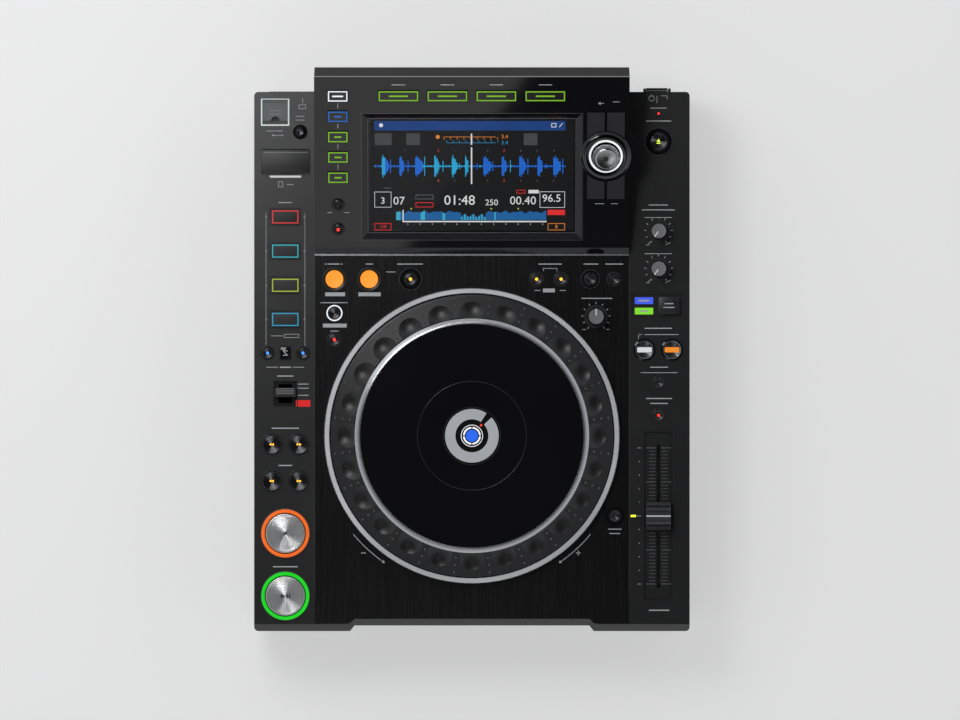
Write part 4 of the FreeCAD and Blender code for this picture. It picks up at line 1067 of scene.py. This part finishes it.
class PLAYER_OT_screen(bpy.types.Operator):
    """Picture on the screen: bars, waveform and plain numbers"""

    bl_idname = "player.screen"
    bl_label = "Screen"

    def execute(self, context):
        w = -4.45
        on_panel("screen_back", surface("screen black", (0.004, 0.004, 0.005), 0.3), -4.5,
                 [slab((-74.5, 12.6, 0.01), (74.5, 96.2, 0.03))])
        white = lit("screen white", (0.85, 0.87, 0.9), 0.9, 0.1)
        grey = lit("screen grey", (0.3, 0.31, 0.33), 0.5, 0.1)
        red = lit("screen red", (0.9, 0.03, 0.03), 0.9, 0.1)
        amber = lit("screen amber", (0.95, 0.3, 0.04), 0.8, 0.1)
        on_panel("screen_bar", lit("screen bar", (0.006, 0.05, 0.22), 1.0, 0.1), w,
                 [slab((-71.5, 88.4, 0), (68.5, 95.6, 0.06))])
        on_panel("screen_bar_marks", white, w + 0.07, [
            dot(-66.5, 92.4, 1.5, 0), frame_line(60, 92.4, 3.6, 3.2, 0.5, 0),
            strip((64, 91), (66.5, 94), 0.5, 0)])
        amber_parts = [strip((-20.5, 83.5), (17.5, 83.5), hairline(), 0)]
        blue_parts = [strip((-18.5, 79.0), (17.5, 79.0), hairline(), 0)]
        for i in range(9):
            amber_parts.append(strip((-20.5 + i * 4.9, 81.4), (-20.5 + i * 4.9, 83.4), hairline(), 0))
            blue_parts.append(strip((-18.5 + i * 4.7, 79.2), (-18.5 + i * 4.7, 81.0), hairline(), 0))
        amber_parts.append(digits("3.4", 24, 83.6, 4.2, 0))
        amber_parts.append(dot(-25, 83.5, 1.5, 0))
        blue_parts.append(digits("3.4", 24, 79.0, 4.2, 0))
        on_panel("screen_beat_amber", amber, w, amber_parts)
        on_panel("screen_beat_blue", lit("screen teal", (0.03, 0.3, 0.55), 0.9, 0.1), w, blue_parts)
        on_panel("screen_box", lit("screen dim", (0.08, 0.085, 0.09), 0.7, 0.1), w,
                 [slab((-71.2, 77.2, 0), (-58.8, 86.2, 0.05)), slab((-48, 77.2, 0), (-38, 86.2, 0.04)),
                  slab((38, 77.2, 0), (48, 86.2, 0.04))])
        cyan, blue = [], []
        # Each burst of the waveform: where it starts, how long it is and how tall
        bursts = ((-65, 4.5, 8.0), (-60.0, 0.8, 7.5), (-52.5, 3.0, 8.0), (-47, 0.6, 5), (-40.5, 5.5, 7.6),
                  (-34.6, 0.6, 7), (-27.0, 3.5, 8.1), (-21.5, 0.8, 6.5), (-14, 3.6, 8.0), (-9.3, 0.5, 5.5),
                  (-4.5, 2.2, 7.8), (3.5, 0.5, 5), (9.5, 5.2, 7.5), (15.0, 0.6, 6.5), (22.5, 3.2, 8.1),
                  (28, 0.7, 5.5), (35.8, 4.2, 8), (41.0, 0.6, 6.8), (49, 3.0, 8), (54, 0.5, 6),
                  (61, 4.6, 7.7), (66.5, 0.8, 6))
        for i in range(230):
            x = -71.2 + i * 0.61
            tall = 0.55 + 0.3 * math.sin(i * 1.7)
            for at, wide, high in bursts:
                away = (x - at) / wide
                if -0.25 < away < 0.95:
                    shape = 1 - 0.75 * abs(away) + 0.12 * math.sin(i * 2.3 + at)
                    tall = max(tall, high * max(0.2, shape))
            bar = slab((x - 0.24, 61.1 - tall, 0), (x + 0.24, 61.1 + tall, 0.05))
            (blue if math.sin(x * 0.09 + 0.6 * math.sin(x * 0.7)) > 0.15 or x > 30 else cyan).append(bar)
        on_panel("screen_wave_cyan", lit("wave cyan", (0.02, 0.42, 0.75), 1.15, 0.1), w, cyan)
        on_panel("screen_wave_blue", lit("wave blue", (0.01, 0.16, 0.75), 1.1, 0.1), w, blue)
        ticks = []
        for i in range(11):
            for v in (49.5, 72.4):
                ticks.append(strip((-61 + i * 12.1, v), (-61 + i * 12.1, v + 1.3), hairline(), 0))
        ticks.append(strip((-64.5, 44.5), (-59.5, 44.5), 0.4, 0))
        on_panel("screen_ticks", grey, w, ticks)
        on_panel("screen_red_ticks", red, w, [strip((x, v), (x, v + 2.2), 0.45, 0) for x in (-24.5, 23.6)
                                              for v in (49, 72)])
        on_panel("screen_playhead", white, w + 0.06, [slab((-0.75, 47.5, 0), (0.25, 75.5, 0.05)),
                                                       slab((-0.75, 77.5, 0), (0.25, 86.0, 0.05))])
        numbers = [digits("07", -53.5, 34.4, 8.6, 0), digits("01:48", -9.0, 34.8, 10.4, 0),
                   digits("250", 14.5, 33.2, 6.4, 0), digits("00.40", 37.5, 34.6, 8.8, 0),
                   digits("3", -65.3, 34.6, 7, 0),
                   digits("96.5", 58.5, 36.4, 8.2, 0), frame_line(59, 35.6, 18.5, 12.4, hairline(), 0),
                   frame_line(-65.3, 35.6, 12.4, 12.0, hairline(), 0),
                   slab((41.5, 40.4, 0), (49, 43.0, print_height))]
        on_panel("screen_numbers", white, w, numbers)
        on_panel("screen_red_boxes", red, w, [
            frame_line(-34.8, 31.6, 13, 3.8, 0.45, 0), frame_line(36.0, 41.6, 6.4, 2.7, 0.4, 0),
            frame_line(-65.3, 14.8, 12.4, 5.4, 0.45, 0), digits("1/4", -65.3, 14.8, 4, 0),
            slab((55.5, 23.8, 0), (68.3, 27.8, 0.05))])
        on_panel("screen_pale_box", grey, w, [frame_line(-34.8, 37.6, 13, 3.4, hairline(), 0)])
        on_panel("screen_amber_box", amber, w, [
            frame_line(62, 14.8, 12.6, 5.4, 0.45, 0), digits("8", 62, 14.8, 4, 0)])
        deep, light = [], []
        for i in range(104):
            x = -55.6 + i * 1.06
            tall = 6.2 + 1.0 * math.sin(i * 0.9) * math.sin(i * 0.23)
            if 44 < i < 62:
                tall = 3.4 + 1.2 * math.sin(i * 1.1)
            bar = slab((x, 19.9, 0), (x + 1.0, 19.9 + tall, 0.05))
            (light if i < 3 or i in (17, 18, 19, 32, 33, 68) or 44 < i < 62 and i % 2 else deep).append(bar)
        on_panel("screen_strip_deep", lit("strip blue", (0.01, 0.13, 0.38), 1.0, 0.1), w, deep)
        on_panel("screen_strip_light", lit("strip light", (0.05, 0.45, 0.65), 1.0, 0.1), w, light)
        line = [slab((-50.5, 18.3, 0), (54.8, 19.3, 0.05)), slab((-50.9, 18.3, 0), (-50.1, 27.8, 0.07))]
        line += [strip((-47 + i * 9, 16.3), (-47 + i * 9, 17.3), hairline(), 0) for i in range(12)]
        on_panel("screen_underline", white, w, line)
        on_panel("screen_flags", lit("screen flags", (0.6, 0.75, 0.1), 0.8, 0.1), w,
                 [arrow(x, 28.6, 0.9, 270, 0) for x in (14.2, 34.0, -44.5)])
        return {"FINISHED"}


class PLAYER_OT_console_keys(bpy.types.Operator):
    """Glowing outlines of the source and menu keys and the two small caps"""

    bl_idname = "player.console_keys"
    bl_label = "Console keys"

    def execute(self, context):
        face = surface("key face", (0.006, 0.006, 0.007), 0.16, bump=0.0, coat=0.3)
        green = lit("key green", (0.25, 0.62, 0.02), 0.9)
        white = lamp("white lamp")
        legend = printed_mark()
        blue = lit("source blue", (0.02, 0.16, 0.6), 1.0)
        rows = [54.1 + 15.5 * i for i in range(5)]
        menu_v = 116.2
        key_top, light_top = 1.15, 1.57
        for i, (v, glow) in enumerate(zip(rows, (green, green, green, blue, white))):
            key = rounded_block((cap_x - 7.1, v - 3.95, 0), (cap_x + 7.1, v + 3.95, 0.4), 0.7)
            on_panel("source_face_%d" % i, face, key_top, [key], "source_keys")
            half = 4.0 if glow == white else 2.6
            shapes = [frame_line(cap_x, v, 14.2, 7.8, glow_line(), 0, 0.08),
                      strip((cap_x - half, v), (cap_x + half, v), 1.1, 0, 0.08)]
            on_panel("source_light_%d" % i, glow, light_top, shapes, "source_keys")
        for i, x in enumerate((-53.7, -17.9, 17.9, 53.7)):
            key = rounded_block((x - 14.5, menu_v - 3.8, 0), (x + 14.5, menu_v + 3.8, 0.4), 0.7)
            on_panel("menu_face_%d" % i, face, key_top, [key], "menu_keys")
            shapes = [frame_line(x, menu_v, 28.8, 7.4, glow_line(), 0, 0.08),
                      strip((x - 7, menu_v), (x + 7, menu_v), 1.1, 0, 0.08)]
            on_panel("menu_light_%d" % i, green, light_top, shapes, "menu_keys")
            on_panel("menu_mark_%d" % i, legend, print_lift, [strip((x - 5, 124.4), (x + 5, 124.4), 0.6, 0)])
        cap = surface("small cap", (0.01, 0.01, 0.011), 0.18, bump=0.0)
        lifted = slope_matrix() @ Matrix.Translation((0, 0, 1.5 * MM))
        for i, v in enumerate(cap_rows):
            turn([(3.75, 0), (3.75, 0.5), (3.2, 0.8), (1.4, 0.55), (0, 0.5)], (cap_x, v), 40)
            end("console_cap_%d" % i, "console_caps", cap, lifted)
            turn([(4.2, 0), (5.0, 0), (4.9, 0.4), (4.3, 0.5), (4.2, 0)], (cap_x, v), 40)
            end("console_cap_ring_%d" % i, "root", satin_black(), slope_matrix())
        red_dot = dot(cap_x, cap_rows[1], 1.2, 0, 0.1)
        on_panel("quantise_lamp", lamp("red lamp"), 2.1, [red_dot], "console_caps")
        marks = [posts(0, [(cap_x, v + 6.0, v + 9.6, 0.4) for v in rows[:4]]),
                 bars(0, ((-106, -102.5, 27.0, 0.4), (-93.5, -90, 27.0, 0.4)))]
        on_panel("console_left_marks", legend, print_lift, marks)
        # Thin pale lines along the top and the foot of the display frame's sloping walls are painted highlights
        edge = surface("display edge", (0.10, 0.10, 0.105), 0.22, metal=0.6, bump=0.0)
        on_panel("display_edge", edge, 0.0, [frame_line(0, 54.35, 162.6, 97.3, 0.5, 0, 0.12)])
        inner = surface("display inner edge", (0.16, 0.16, 0.17), 0.3, metal=0.6)
        on_panel("display_inner_edge", inner, -3.0, [frame_line(0, 54.35, 153.0, 87.7, 0.5, 0, 0.1)])
        return {"FINISHED"}


class PLAYER_OT_selector(bpy.types.Operator):
    """Selector knob with its polished ring, light ring and the printed marks above and below it"""

    bl_idname = "player.selector"
    bl_label = "Selector"

    def execute(self, context):
        place = slope_matrix()
        x, v = selector_x, selector_v
        shine = surface("polished ring", (0.10, 0.10, 0.105), 0.12, metal=1.0, bump=0.0, rough_spread=0.03)
        turn([(12.8, 1.0), (12.8, 2.05), (14.2, 2.45), (16.4, 2.2), (18.6, 0.6), (18.6, 0.1)], (x, v), 96)
        end("selector_bezel", "root", shine, place)
        turn([(10.9, 1.1), (11.0, 1.5), (12.3, 1.5), (12.5, 1.1)], (x, v), 72)
        end("selector_glow", "root", lit("selector white", (0.95, 0.97, 1.0), 1.1), place)
        side = surface("knob grip", (0.03, 0.03, 0.032), 0.3, bump=0.02)
        metal = surface("knob metal", (0.55, 0.56, 0.57), 0.2, metal=1.0, bump=0.003)
        turn([(7.4, 6.9), (7.7, 7.9), (7.0, 8.35), (5.6, 8.1), (0, 7.95)], (x, v), 64)
        end("selector_cap", "selector_knob", metal, place)
        paint("selector_knob", side)
        turn([(7.8, 6.75), (8.6, 7.0), (9.5, 6.95), (10.0, 6.3), (10.02, 5.4)], (x, v), 64)
        end("selector_rim", "selector_knob", metal, place)
        rows = ((-4, -1.5, v + 40, 0.4), (5, 10, v + 41.2, 0.4), (-8, -1, v - 36.5, 0.4),
                (4, 9, v - 36.5, 0.4))
        on_panel("selector_arrows", printed_mark(), print_lift, [
            arrow(x - 4.5, v + 40.0, 1.3, 180, 0), bars(0, rows, x)])
        return {"FINISHED"}


class PLAYER_OT_knobs(bpy.types.Operator):
    """Ribs and pointers of the three small knobs, with the ticks round them"""

    bl_idname = "player.knobs"
    bl_label = "Small knobs"

    rib_count = 18
    tick_count = 11

    def spoke(self, x, y, inner, outer, angle, wide, z, height):
        """Line that runs outwards from a centre, angle in radians."""
        across, up = math.cos(angle), math.sin(angle)
        start = (x + inner * across, y + inner * up)
        return strip(start, (x + outer * across, y + outer * up), wide, z, height)

    def execute(self, context):
        pointer = surface("pointer white", (0.8, 0.8, 0.8), 0.45)
        rib = surface("knob ribs", (0.02, 0.02, 0.021), 0.45)
        metal = surface("knob face metal", (0.34, 0.34, 0.35), 0.45, metal=0.8, bump=0.004)
        for node, aim in (("jog_adjust_knob", 90), ("touch_brake_knob", 235), ("release_start_knob", 235)):
            low, high = span(node)
            x, y = middle(node).x, middle(node).y
            top = high.z
            radius = (high.x - low.x) / 2
            join_pieces([self.spoke(x, y, radius - 0.5, radius + 0.35, 2 * math.pi * i / self.rib_count, 0.7,
                                    deck + 1.2, top - deck - 1.7) for i in range(self.rib_count)])
            end(node + "_ribs", node, rib)
            turn([(radius - 0.6, top - 0.05), (radius - 0.9, top + 0.25), (radius * 0.4, top + 0.2),
                  (0, top + 0.18)], (x, y), 40)
            end(node + "_face", node, metal)
            join_pieces([self.spoke(x, y, 0.8, radius - 0.4, math.radians(aim), 1.1, top + 0.2, 0.25)])
            end(node + "_pointer", node, pointer)
            turn([(radius + 0.7, deck), (radius + 2.6, deck), (radius + 2.4, deck + 0.25),
                  (radius + 0.8, deck + 0.25), (radius + 0.7, deck)], (x, y), 48)
            end(node + "_base", "root", rib)
            ticks = []
            for i in range(self.tick_count):
                angle = math.radians(235 - i * 29)
                across, up = math.cos(angle), math.sin(angle)
                ticks.append(strip((x + (radius + 3.2) * across, y + (radius + 3.2) * up),
                                   (x + (radius + 4.6) * across, y + (radius + 4.7) * up), 0.5, deck))
            if node == "jog_adjust_knob":
                ticks.append(bars(deck, ((-10, -7.4, y - 9.4, 0.4), (7.4, 10, y - 9.4, 0.4)), x))
            else:
                ticks.append(bars(deck, ((-9, -7, y - 10.2, 0.4), (-7, -5, y - 8.4, 0.4)), x))
                ticks.append(posts(deck, ((-7, y - 10.2, y - 8.4, 0.4),), x))
                ticks.append(strip((x + 5, y - 10.2), (x + 9, y - 8.4), 0.4, deck))
            join_pieces(ticks)
            end(node + "_ticks", "root", printed_mark())
        return {"FINISHED"}


class PLAYER_OT_slider(bpy.types.Operator):
    """Slider cap's ridges and white line, its scale and its green lamp"""

    bl_idname = "player.slider"
    bl_label = "Tempo slider"

    def cap(self, y, top):
        """Stepped ridges on both sides of the cap and the line across its middle."""
        ridges = []
        for side in (-1, 1):
            for i in range(4):
                at = y + side * (3.6 + i * 1.35)
                z = top - 2.0 + i * 0.45
                ridges.append(slab((right_x - 8.6, at - 0.3, z - 1.2), (right_x + 8.6, at + 0.3, z + 0.25)))
        join_pieces(ridges)
        end("slider_ridges", "tempo_slider", surface("slider grip", (0.03, 0.03, 0.032), 0.3, bump=0.0))
        block((right_x - 8.9, y - 0.5, top - 2.62), (right_x + 8.9, y + 0.5, top - 2.4))
        end("slider_line", "tempo_slider", surface("pointer white", (0.8, 0.8, 0.8), 0.45))
        paint("tempo_slider", surface("slider plastic", (0.045, 0.045, 0.047), 0.3, bump=0.01))

    def scale(self, y):
        """Ticks on both sides of the slot, every tenth one longer."""
        floor = deck - recess_sink
        ticks = []
        for i in range(41):
            at = y - slider_travel + i * 2.5
            reach, wide = (7.0, 0.4) if i % 10 == 0 else (4.6, 0.25)
            for side in (-1, 1):
                inner = right_x + side * 2.2
                ticks.append(strip((inner, at), (inner + side * reach, at), wide, floor))
        join_pieces(ticks)
        end("slider_scale", "root", surface("dim mark", (0.2, 0.2, 0.205), 0.5))

    def side_marks(self, y):
        """Dots beside the recess, with a line at each end and at the middle."""
        line = hairline()
        parts = [dot(right_x - 14.1, y - slider_travel + i * 10, line, deck) for i in range(11) if i != 5]
        rows = ((-15.4, -12.9, y - slider_travel, line), (-15.4, -12.9, y + slider_travel, line),
                (-15.9, -12.9, y, line))
        join_pieces(parts + [bars(deck, rows, right_x)])
        end("slider_side_dots", "root", printed_mark())

    def execute(self, context):
        y, top = middle("tempo_slider").y, span("tempo_slider")[1].z
        self.cap(y, top)
        self.scale(y)
        self.side_marks(y)
        block((right_x - 20.4, y - 0.8, deck), (right_x - 16.6, y + 0.8, deck + 0.15))
        end("slider_lamp", "root", lamp("lime lamp"))
        join_pieces([frame_line(right_x, y, 22.4, 125.4, 0.7, deck, 0.1)])
        end("slider_edge", "root", satin_black())
        return {"FINISHED"}


class PLAYER_OT_covers(bpy.types.Operator):
    """USB lid, card door, lever and their lit lines"""

    bl_idname = "player.covers"
    bl_label = "Covers and lever"

    def usb_lid(self):
        """Lit rim round the USB lid and the lid's lines."""
        left, right, near, far = -155.0, -134.2, 164.4, 184.3
        rim = 1.0
        low, high = deck, deck + 0.06
        join_pieces([slab((left, near, low), (right, near + rim, high)),
                     slab((left, near + rim, low), (left + rim, far, high)),
                     slab((right - rim, near + rim, low), (right, far, high)),
                     slab((left + rim, far - 0.6, low), (right - rim, far, high))])
        end("usb_light", "root", lit("usb light", (0.75, 0.85, 0.83), 0.9))
        paint("usb_lid", surface("usb lid", (0.12, 0.13, 0.13), 0.3, bump=0.01))
        top = span("usb_lid")[1].z
        join_pieces([strip((-149, y), (-140, y), 0.6, top, 0.12) for y in (175.5, 173)])
        end("usb_lid_lines", "usb_lid", pale_line())

    def card_door(self, legend):
        """Face and line of the card door, its frame, its light and the mark below it."""
        low, high = span("sd_door")
        top = high.z + 0.35
        rounded_block((low.x + 0.3, low.y + 0.3, high.z - 0.2), (high.x - 0.3, high.y - 0.3, top), 0.8, 0.2)
        end("sd_door_face", "sd_door", surface("door plastic", (0.026, 0.026, 0.028), 0.42, bump=0.02))
        line_y = high.y - 2.2
        join_pieces([strip((low.x + 2, line_y), (high.x - 2, line_y), 0.5, top, 0.1)])
        end("sd_door_line", "sd_door", pale_line())
        block((-148.5, 126.3, deck), (-125.5, 127.8, deck + 0.12))
        end("sd_light", "root", lit("sd light", (0.8, 0.8, 0.78), 0.8))
        join_pieces([frame_line(-137, 136.6, 36.2, 17.4, 0.5, deck, 0.1)])
        end("sd_frame", "root", satin_black())
        join_pieces([frame_line(-140.5, 121.4, 3.4, 4.2, hairline(), deck),
                     strip((-136, 121.2), (-131, 121.2), 0.5, deck)])
        end("sd_mark", "root", legend)

    def usb_marks(self, legend):
        """Marks beside and below the USB lid."""
        rows = ((-129.5, -123, 171.4, 0.4), (-129.5, -123, 168.6, 0.4), (-151, -139, 160.6, 0.4),
                (-146, -139.5, 157.4, hairline()))
        join_pieces([posts(deck, ((-124.4, 181, 184.5, 0.4),)), bars(deck, rows),
                     frame_line(-124.6, 178.4, 5.2, 3.2, hairline(), deck),
                     dot(-146.2, 157.4, 0.7, deck), arrow(-139, 157.4, 0.8, 0, deck)])
        end("usb_marks", "root", legend)

    def lever(self, legend):
        """Ribs of the direction lever, the painted shade in the well and the frame round it, its lamp and its marks.
        """
        mid = middle("direction_lever")
        top = span("direction_lever")[1].z
        rib_rows = [mid.y + 1.0 + i for i in (-1.8, -0.6, 0.6, 1.8)]
        join_pieces([strip((mid.x - 6.6, y), (mid.x + 6.6, y), 0.45, top, 0.2) for y in rib_rows])
        end("lever_ribs", "direction_lever", pale_line())
        # A near-black sheet on the floor of the lever's recess is painted shade.
        low, high = deck - recess_sink + 0.02, deck - recess_sink + 0.06
        well = ((-8.3, -41.6, -5.0, -23.6), (5.0, -41.6, 8.3, -23.6), (-5.0, -41.6, 5.0, -39.4),
                (-5.0, -25.4, 5.0, -23.6))
        join_pieces([slab((left_x + x0, y0, low), (left_x + x1, y1, high)) for x0, y0, x1, y1 in well])
        end("lever_well", "root", surface("well black", (0.003, 0.003, 0.003), 0.7))
        join_pieces([frame_line(left_x, -32.6, 18.6, 20.2, 0.8, deck, 0.12)])
        end("lever_frame", "root", satin_black())
        block((-129.3, -42.0, deck), (-118.7, -37.2, deck + 0.1))
        end("reverse_light", "root", lit("reverse red", (0.85, 0.02, 0.02), 0.85))
        join_pieces([strip((-128, y), (-120, y), 0.6, deck) for y in (-25.4, -28.4, -33.6)])
        end("lever_marks", "root", legend)

    def execute(self, context):
        legend = printed_mark()
        self.usb_lid()
        self.card_door(legend)
        self.usb_marks(legend)
        self.lever(legend)
        return {"FINISHED"}


class PLAYER_OT_lamps(bpy.types.Operator):
    """Small lamps and lit windows on the right side"""

    bl_idname = "player.lamps"
    bl_label = "Lamps"

    def mode_windows(self):
        """Blue and green windows beside the jog mode key, and the marks on them."""
        floor = deck - 0.8
        top = floor + 0.5
        left, right = 119.7, 133.2
        rounded_block((left, 33.4, floor), (right, 38.4, top), 0.5)
        end("mode_window_blue", "root", lit("window blue", (0.06, 0.12, 0.85), 1.0, 0.2))
        rounded_block((left, 25.8, floor), (right, 30.7, top), 0.5)
        end("mode_window_green", "root", lit("window green", (0.22, 0.75, 0.03), 1.0, 0.2))
        join_pieces([bars(top, ((122.5, 130.4, 35.9, 1.2), (123.5, 129.4, 28.2, 1.2)))])
        end("mode_window_marks", "root", printed_mark())

    def mode_key(self):
        """Rounded face and marks of the jog mode key."""
        low, high = span("jog_mode_key")
        top = high.z + 0.5
        rounded_block((low.x + 0.3, low.y + 0.3, high.z - 0.2), (high.x - 0.3, high.y - 0.3, top), 0.9, 0.35)
        end("mode_key_face", "jog_mode_key", surface("mode key", (0.022, 0.022, 0.024), 0.3, bump=0.0))
        x, y = (low.x + high.x) / 2, (low.y + high.y) / 2
        join_pieces([bars(top, ((-3.2, 3.2, y + 1.4, 0.7), (-4, 4, y - 1.4, 0.7)), x)])
        end("mode_key_mark", "jog_mode_key", printed_mark())

    def power(self):
        """Marks by the power button, and the ribs across it."""
        uprights = ((132.0, 185.2, 187.4, 0.4), (136, 181, 186.4, 0.4), (143.5, 184, 186.4, 0.4))
        join_pieces([arc_line(132.0, 184.6, 2.0, 110, 430, 0.4, deck), posts(deck, uprights),
                     bars(deck, ((139, 143.5, 186.4, 0.4),))])
        end("power_marks", "root", printed_mark())
        low, high = span("power_button")
        ribs = []
        for i in range(3):
            y = high.y - 2.2 - i * 1.3
            ribs.append(slab((low.x - 0.05, y, high.z - 0.5), (high.x + 0.05, y + 0.6, high.z + 0.1)))
        join_pieces(ribs)
        end("power_ribs", "power_button", pale_line())

    def execute(self, context):
        join_pieces([dot(137.2, 173.4, 0.8, deck, 0.2)])
        end("standby_lamp", "root", lamp("red lamp"))
        self.mode_windows()
        self.mode_key()
        self.power()
        return {"FINISHED"}


class PLAYER_OT_legends(bpy.types.Operator):
    """Printed lines, arrows and brackets beside the controls, with no words"""

    bl_idname = "player.legends"
    bl_label = "Printed marks"

    def left_strip(self, z):
        """Marks round the pads, bank keys, search keys, cue and play."""
        rows = ((-5, 5, 108.0, 0.7), (-10.5, -2, 10.0, 0.4), (-14, -5.4, -13.0, 0.4), (5.4, 14, -13.0, 0.4),
                (-4, 4, -13.0, 0.8), (-6, 6, -19.5, 0.8), (-10, 10, -57.8, 0.8), (-5, 5, -85.2, 0.8),
                (-9, 9, -159.6, 0.8))
        return [bars(z, rows, left_x), frame_line(left_x + 4.6, 10.0, 11, 2.8, hairline(), z)]

    def pad_dots(self, z):
        return [dot(left_x + side * 14.0, 97.4 - 25.1 * i, 0.55, z) for i in range(4) for side in (-1, 1)]

    def loop_block(self, z):
        """Marks over and under the loop buttons and the keys below them."""
        rows = ((-106, -97, 62.8, 0.7), (-78, -72.5, 62.8, 0.7), (-55, -36, 62.8, 0.7), (-63, -56, 57.0, 0.5),
                (-107.8, -93.2, 40.6, 2.8), (-83.4, -67.0, 40.6, 2.8), (-110, -93, 34.4, 0.6),
                (-109.4, -92.0, 17.6, 2.8), (-104, -98, 13.6, 0.6))
        ends = ((-107.5, 62.8, 0.8, 180), (-95.5, 62.8, 0.8, 0), (-111, 34.4, 0.7, 180), (-92, 34.4, 0.7, 0))
        return [bars(z, rows)] + [arrow(x, y, size, way, z) for x, y, size, way in ends]

    def memory_block(self, z):
        """Marks round the call, memory and delete keys and the jog adjust knob."""
        rows = ((49, 66, 62.8, 0.7), (52.5, 62.5, 59.6, hairline()), (82, 93, 62.8, 0.7),
                (98, 111, 62.8, 0.7), (52.2, 61.0, 43.4, 2.8), (46, 50.4, 43.4, 0.5),
                (64.6, 69, 43.4, 0.5), (80.5, 103, 37.6, 0.7))
        ends = ((52.5, 57.6, 59.6, hairline()), (62.5, 57.6, 59.6, hairline()))
        return [bars(z, rows), posts(z, ends)]

    def right_strip(self, z):
        """Marks down the right side, from the power button to the slider's foot."""
        rows = ((131, 143, 177.4, 0.6), (128, 146.5, 167.9, 0.7), (130, 144, 106.2, 0.7),
                (125, 149, 102.6, 0.7), (127, 147, 97.0, 0.5), (127, 147, 70.4, 0.5), (127, 147, 15.6, 0.7),
                (127, 152, 11.0, 0.5), (122.5, 125, 11.0, 0.4), (131, 144, -13.0, 0.7),
                (124, 151, -17.0, 0.45), (128, 147, -36.0, 0.7), (131, 144, -39.6, 0.7),
                (130, 145, -191.6, 0.8))
        return [bars(z, rows), posts(z, ((122.5, 7.8, 11.0, 0.4),))]

    def turning_arrows(self, z):
        """Two curved arrows under the wheel, and a minus and a plus."""
        y = wheel_centre.y
        parts = [arc_line(0, y, arrow_circle, 219.7, 234.3, 0.5, z, steps=12),
                 arc_line(0, y, arrow_circle, 305.7, 320.3, 0.5, z, steps=12)]
        for at, way in ((235, 325), (305, 215)):
            angle = math.radians(at)
            across, up = arrow_circle * math.cos(angle), arrow_circle * math.sin(angle)
            parts.append(arrow(across, y + up, 1.4, way, z))
        parts.append(bars(z, ((-81.5, -78.0, -149.5, 0.6), (76.5, 80.0, -149.5, 0.6))))
        parts.append(posts(z, ((78.2, -151.2, -147.8, 0.6),)))
        return parts

    def execute(self, context):
        z = deck
        groups = {
            "left": self.left_strip(z), "pads": self.pad_dots(z), "loop": self.loop_block(z),
            "memory": self.memory_block(z), "right": self.right_strip(z),
            "reset": [bars(z, ((100, 110, -132.0, 0.6), (101, 109, -135.2, 0.6)))],
            "turning": self.turning_arrows(z),
        }
        for name, parts in groups.items():
            join_pieces(parts)
            end("marks_" + name, "root", printed_mark())
        # Pale lines along the seams between the side strips and the deck mark a real joint; their paleness is a
        # painted highlight.
        join_pieces([posts(z, ((-115.5, -180, 66, 0.3), (115.5, -180, 66, 0.3)))])
        end("deck_seams", "root", surface("seam", (0.06, 0.06, 0.062), 0.4))
        return {"FINISHED"}


class PLAYER_PT_panel(bpy.types.Panel):
    """Lists the pieces of the disc player"""

    bl_label = "Disc player"
    bl_idname = "PLAYER_PT_panel"
    bl_space_type = "VIEW_3D"
    bl_region_type = "UI"
    bl_category = "Disc player"

    def draw(self, context):
        column = self.layout.column()
        for operator in OPERATORS:
            column.operator(operator.bl_idname)
        for group in (colours(), sizes()):
            for name in group.__annotations__:
                column.prop(group, name)


OPERATORS = [one for name, one in sorted(globals().items()) if name.startswith("PLAYER_OT_")]
GROUPS = [PlayerColours, PlayerSizes]


def register():
    for one in GROUPS + OPERATORS + [PLAYER_PT_panel]:
        bpy.utils.register_class(one)
    bpy.types.Scene.player_colours = bpy.props.PointerProperty(type=PlayerColours)
    bpy.types.Scene.player_sizes = bpy.props.PointerProperty(type=PlayerSizes)


def unregister():
    del bpy.types.Scene.player_colours
    del bpy.types.Scene.player_sizes
    for one in reversed(GROUPS + OPERATORS + [PLAYER_PT_panel]):
        bpy.utils.unregister_class(one)


def main():
    register()
    bpy.ops.player.finishes()
    for operator in OPERATORS:
        if operator.bl_idname not in ("player.finishes", "player.stage"):
            area, call = operator.bl_idname.split(".")
            getattr(getattr(bpy.ops, area), call)()
    bpy.ops.player.stage()
    low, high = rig.bounds()
    with open("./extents.json", "w") as out:
        json.dump({"cad": [list(cad_low), list(cad_high)], "visual": [list(low), list(high)]}, out)


if __name__ == "__main__":
    main()
